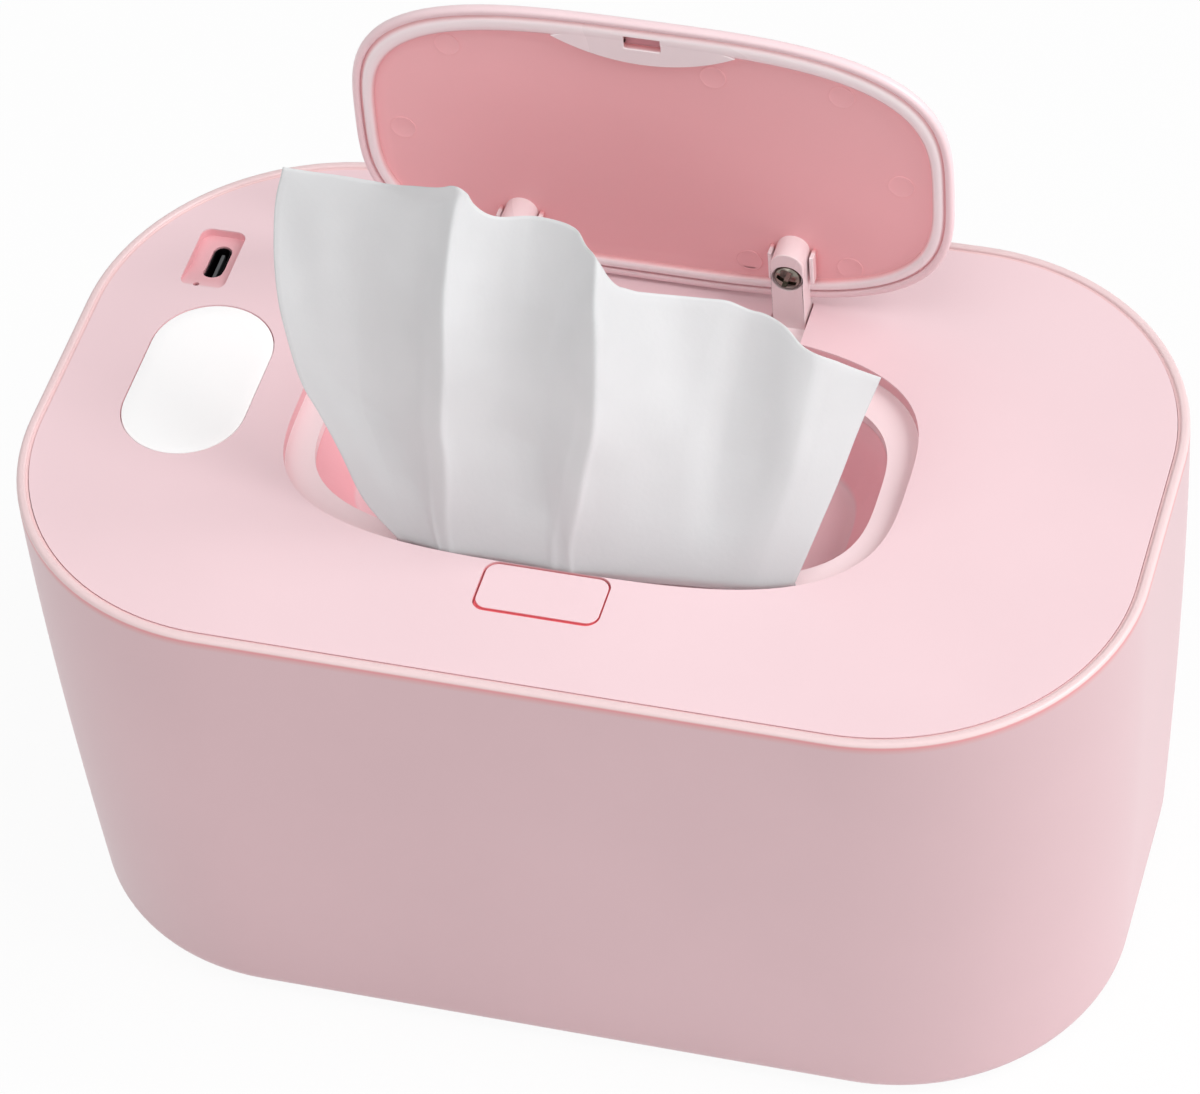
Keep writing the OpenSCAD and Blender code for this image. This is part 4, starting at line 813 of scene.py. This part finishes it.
def cloth_point(u, v):
    """The standing part of the wipe: u across, v from the ledge to the top."""
    edges = curve(LEFT, v), curve(RIGHT, v), curve(BOTTOM, u), curve(TOP, u)
    x, z = patch(u, v, 0, *edges), patch(u, v, 1, *edges)
    up = clamp((z - 101) / 61)
    # where the outline of the sheet was set against the photograph
    placed = (FRONT_Y + bow(x, 5)) * (1 - up) - 0.5 * up + curve(PLACE, u)[0] * clamp((z - 100) / 25)
    # the folds, at w across, grow with the height
    stand = ease((z - 99) / 45)
    left, right = curve(SHIFT, v)
    share = clamp((u - 0.35) / 0.15)
    w = u - (left * (1 - share) + right * share) * min(1.0, 6 * u, 4 * (1 - u))
    y = (FRONT_Y + bow(x, 3.6 if x > 0 else 1.6)) * (1 - up) - 0.5 * up + 3.0 * (u - 0.35) * up \
        + curve(FOLD, w)[0] * (0.2 + 1.1 * stand)
    # two small ridges beside the large folds, and creases
    y -= 0.16 * math.exp(-((w - 0.243) / 0.009) ** 2) + 0.22 * math.exp(-((w - 0.497 + 0.012 * (1 - v)) / 0.008) ** 2)
    y += (math.sin(31 * u + 4 * v) * math.sin(17 * u - 3 * v + 1) * 0.16 + 0.07 * math.sin(57 * u + 9 * v * v)) * stand
    # a fold that stands out moves along the line of sight, so that the outline stays where it was set
    out = ease((z - 100) / 14) * (y - placed)
    return x + SIGHT_X * out, y, max(z + SIGHT_Z * out, 99.2)


def well_edge(x):
    """Front edge of the hole in the ledge, where the crescent shelf reaches in at the middle."""
    edge = WELL_Y - WELL_B * (1 - min(abs(x) / WELL_A, 0.98) ** POWER) ** (1 / POWER)
    if abs(x) < TAB_W / 2:
        edge = max(edge, SHELF_Y - TAB_R + math.sqrt(TAB_R ** 2 - x * x))
    return edge


ACROSS, HIDDEN, STANDING = 300, 26, 100  # faces across, from the slit to the ledge, and from there to the top
rows = []
foot = [cloth_point(i / ACROSS, 0) for i in range(ACROSS + 1)]
for k in range(HIDDEN):
    s = k / HIDDEN
    row = []
    for i, (x1, y1, z1) in enumerate(foot):
        u = i / ACROSS
        x0 = (u - 0.5) * (SLIT_W - 3)
        xe = x0 + (x1 - x0) * 0.86
        ye = well_edge(xe) + 1.6
        # from the slit up to the edge of the ledge, over it, and to the foot of the standing part
        way = [(0.0, x0, SLIT_Y, 84.2), (0.14, x0, SLIT_Y, 86.8),
               (0.45, x0 + (xe - x0) * 0.5, SLIT_Y + (ye - SLIT_Y) * 0.66, 92.0), (0.72, xe, ye, 98.3),
               (0.78, xe, ye - 1.3, 99.25), (0.88, x1, y1 + 1.0, 99.15), (0.94, x1, y1 + 0.1, 99.5), (1.0, x1, y1, z1)]
        ruck = 0.5 * math.sin(44 * u) * math.sin(math.pi * min(1, s / 0.74))
        x, y, z = curve(way, s)
        row.append((x, y - ruck, z))
    rows.append(row)
for j in range(STANDING + 1):
    rows.append([cloth_point(i / ACROSS, j / STANDING) for i in range(ACROSS + 1)])
bm = bmesh.new()
verts = [[bm.verts.new(tuple(c * MM for c in q)) for q in row] for row in rows]
for a, b in zip(verts, verts[1:]):
    for i in range(ACROSS):
        bm.faces.new((a[i], a[i + 1], b[i + 1], b[i]))
wipe = finish_mesh("wipe_cloth", bm, wipe_white, "cover", sharp=180, stands_for=("wipe_sheet",))
# Thin at its cut edges
inside = wipe.vertex_groups.new(name="inside")
for j in range(len(rows)):
    for i in range(ACROSS + 1):
        rim = min(i, ACROSS - i, len(rows) - 1 - j)
        inside.add([j * (ACROSS + 1) + i], min(1.0, 0.1 + 0.3 * rim), "REPLACE")
thick = wipe.modifiers.new("thickness", "SOLIDIFY")
thick.thickness = 0.3 * MM
thick.offset = 0
thick.vertex_group = "inside"
thick.thickness_vertex_group = 0.1
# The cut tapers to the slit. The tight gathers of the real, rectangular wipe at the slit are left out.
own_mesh(wipe)

# ---------- finishes of the CAD nodes that stay ----------
finishes = {
    white_plastic: ("inner_tub", "cover_base", "display_module", "thermal_fuse", "latch_slider", "latch_bracket"),
    black_plastic: ("controller_chip", "power_coil", "battery_strap", "heat_sensor"),
    steel: ("cover_screws", "board_screws", "heater_screws", "bracket_screws", "hinge_pin", "hinge_spring_left",
            "hinge_spring_right"),
    foam: ("foam_sleeve", "foam_base", "heater_pad"), lead: ("heater_leads", "battery_leads"),
    rubber: ("rubber_feet",), pink_rubber: ("cover_gasket",), wipe_white: ("wipe_stack",), foil: ("battery",),
    green_board: ("main_board",), aluminium: ("heater_plate",), amber: ("heater_film",),
}
for mat, names in finishes.items():
    for name in names:
        mesh = nodes[name].data
        if len(mesh.materials) == 0:
            mesh.materials.append(mat)
        for i in range(len(mesh.materials)):
            mesh.materials[i] = mat


# ---------- floor, light, camera ----------
def seen_directly(tree):
    """1 for rays from the camera and for reflections, else 0."""
    path = tree.nodes.new("ShaderNodeLightPath")
    either = tree.nodes.new("ShaderNodeMath")
    either.operation = "MAXIMUM"
    tree.links.new(path.outputs["Is Camera Ray"], either.inputs[0])
    tree.links.new(path.outputs["Is Glossy Ray"], either.inputs[1])
    return either.outputs["Value"]


FLOOR_GLOW = 0.93  # share of plain white in the floor that the camera sees, the rest takes shadows
bm = bmesh.new()
bmesh.ops.create_grid(bm, x_segments=8, y_segments=8, size=3.0)
floor = to_object(bm, "floor")
mat, tree, bsdf = new_material("floor_white")
bsdf.inputs["Base Color"].default_value = (0.9, 0.9, 0.9, 1)
bsdf.inputs["Roughness"].default_value = 0.9
bsdf.inputs["Specular IOR Level"].default_value = 0.1
glow = tree.nodes.new("ShaderNodeEmission")
glow.inputs["Color"].default_value = (1, 1, 1, 1)
glow.inputs["Strength"].default_value = 1.0
share = tree.nodes.new("ShaderNodeMath")
share.operation = "MULTIPLY"
share.inputs[1].default_value = FLOOR_GLOW
mix = tree.nodes.new("ShaderNodeMixShader")
tree.links.new(seen_directly(tree), share.inputs[0])
tree.links.new(share.outputs["Value"], mix.inputs["Fac"])
tree.links.new(bsdf.outputs["BSDF"], mix.inputs[1])
tree.links.new(glow.outputs["Emission"], mix.inputs[2])
tree.links.new(mix.outputs["Shader"], tree.nodes["Material Output"].inputs["Surface"])
floor.data.materials.append(mat)

WORLD = 0.3  # light from all round; the camera sees white
world = bpy.data.worlds.new("soft_white")
bpy.context.scene.world = world
world.use_nodes = True
tree = world.node_tree
back = tree.nodes["Background"]
back.inputs["Color"].default_value = (1, 1, 1, 1)
strength = tree.nodes.new("ShaderNodeMapRange")
strength.inputs["To Min"].default_value = WORLD
strength.inputs["To Max"].default_value = 1.0
tree.links.new(seen_directly(tree), strength.inputs["Value"])
tree.links.new(strength.outputs["Result"], back.inputs["Strength"])

AIM = (0, 0, 0.1)


def lamp(name, place, size, watts):
    data = bpy.data.lights.new(name, "AREA")
    data.shape = "RECTANGLE"
    data.size, data.size_y = size
    data.energy = watts
    obj = bpy.data.objects.new(name, data)
    obj.location = place
    obj.rotation_euler = (Vector(AIM) - Vector(place)).to_track_quat("-Z", "Y").to_euler()
    bpy.context.scene.collection.objects.link(obj)


lamp("over", (-0.15, -0.3, 1.1), (1.0, 0.8), 3.1)
lamp("right", (1.28, 0.1, 1.17), (1.1, 1.1), 21.2)
lamp("front", (-0.2, -0.95, 0.7), (0.7, 0.5), 2.0)

view = bpy.context.scene.view_settings
view.view_transform = "Standard"

# The photograph's camera: its turn about the object, its height and its roll; the point it looks at and how far off
AZ, EL, ROLL = math.radians(-19.33), math.radians(46.17), math.radians(-5.42)
target = Vector((-8.65, 18.8, 52.0)) * MM
distance = 1.0619
fwd = Vector((math.sin(AZ) * math.cos(EL), math.cos(AZ) * math.cos(EL), -math.sin(EL)))
across = Vector((math.cos(AZ), -math.sin(AZ), 0))
upward = across.cross(fwd)
right = across * math.cos(ROLL) + upward * math.sin(ROLL)
up = upward * math.cos(ROLL) - across * math.sin(ROLL)
cam_data = bpy.data.cameras.new("camera")
cam_data.lens = 168.0
cam_data.sensor_width = 36.0
cam_data.clip_start = 0.05
cam_data.clip_end = 20
cam = bpy.data.objects.new("camera", cam_data)
place = target - fwd * distance
cam.matrix_world = Matrix(((right.x, up.x, -fwd.x, place.x), (right.y, up.y, -fwd.y, place.y),
                           (right.z, up.z, -fwd.z, place.z), (0, 0, 0, 1)))
bpy.context.scene.collection.objects.link(cam)
bpy.context.scene.camera = cam
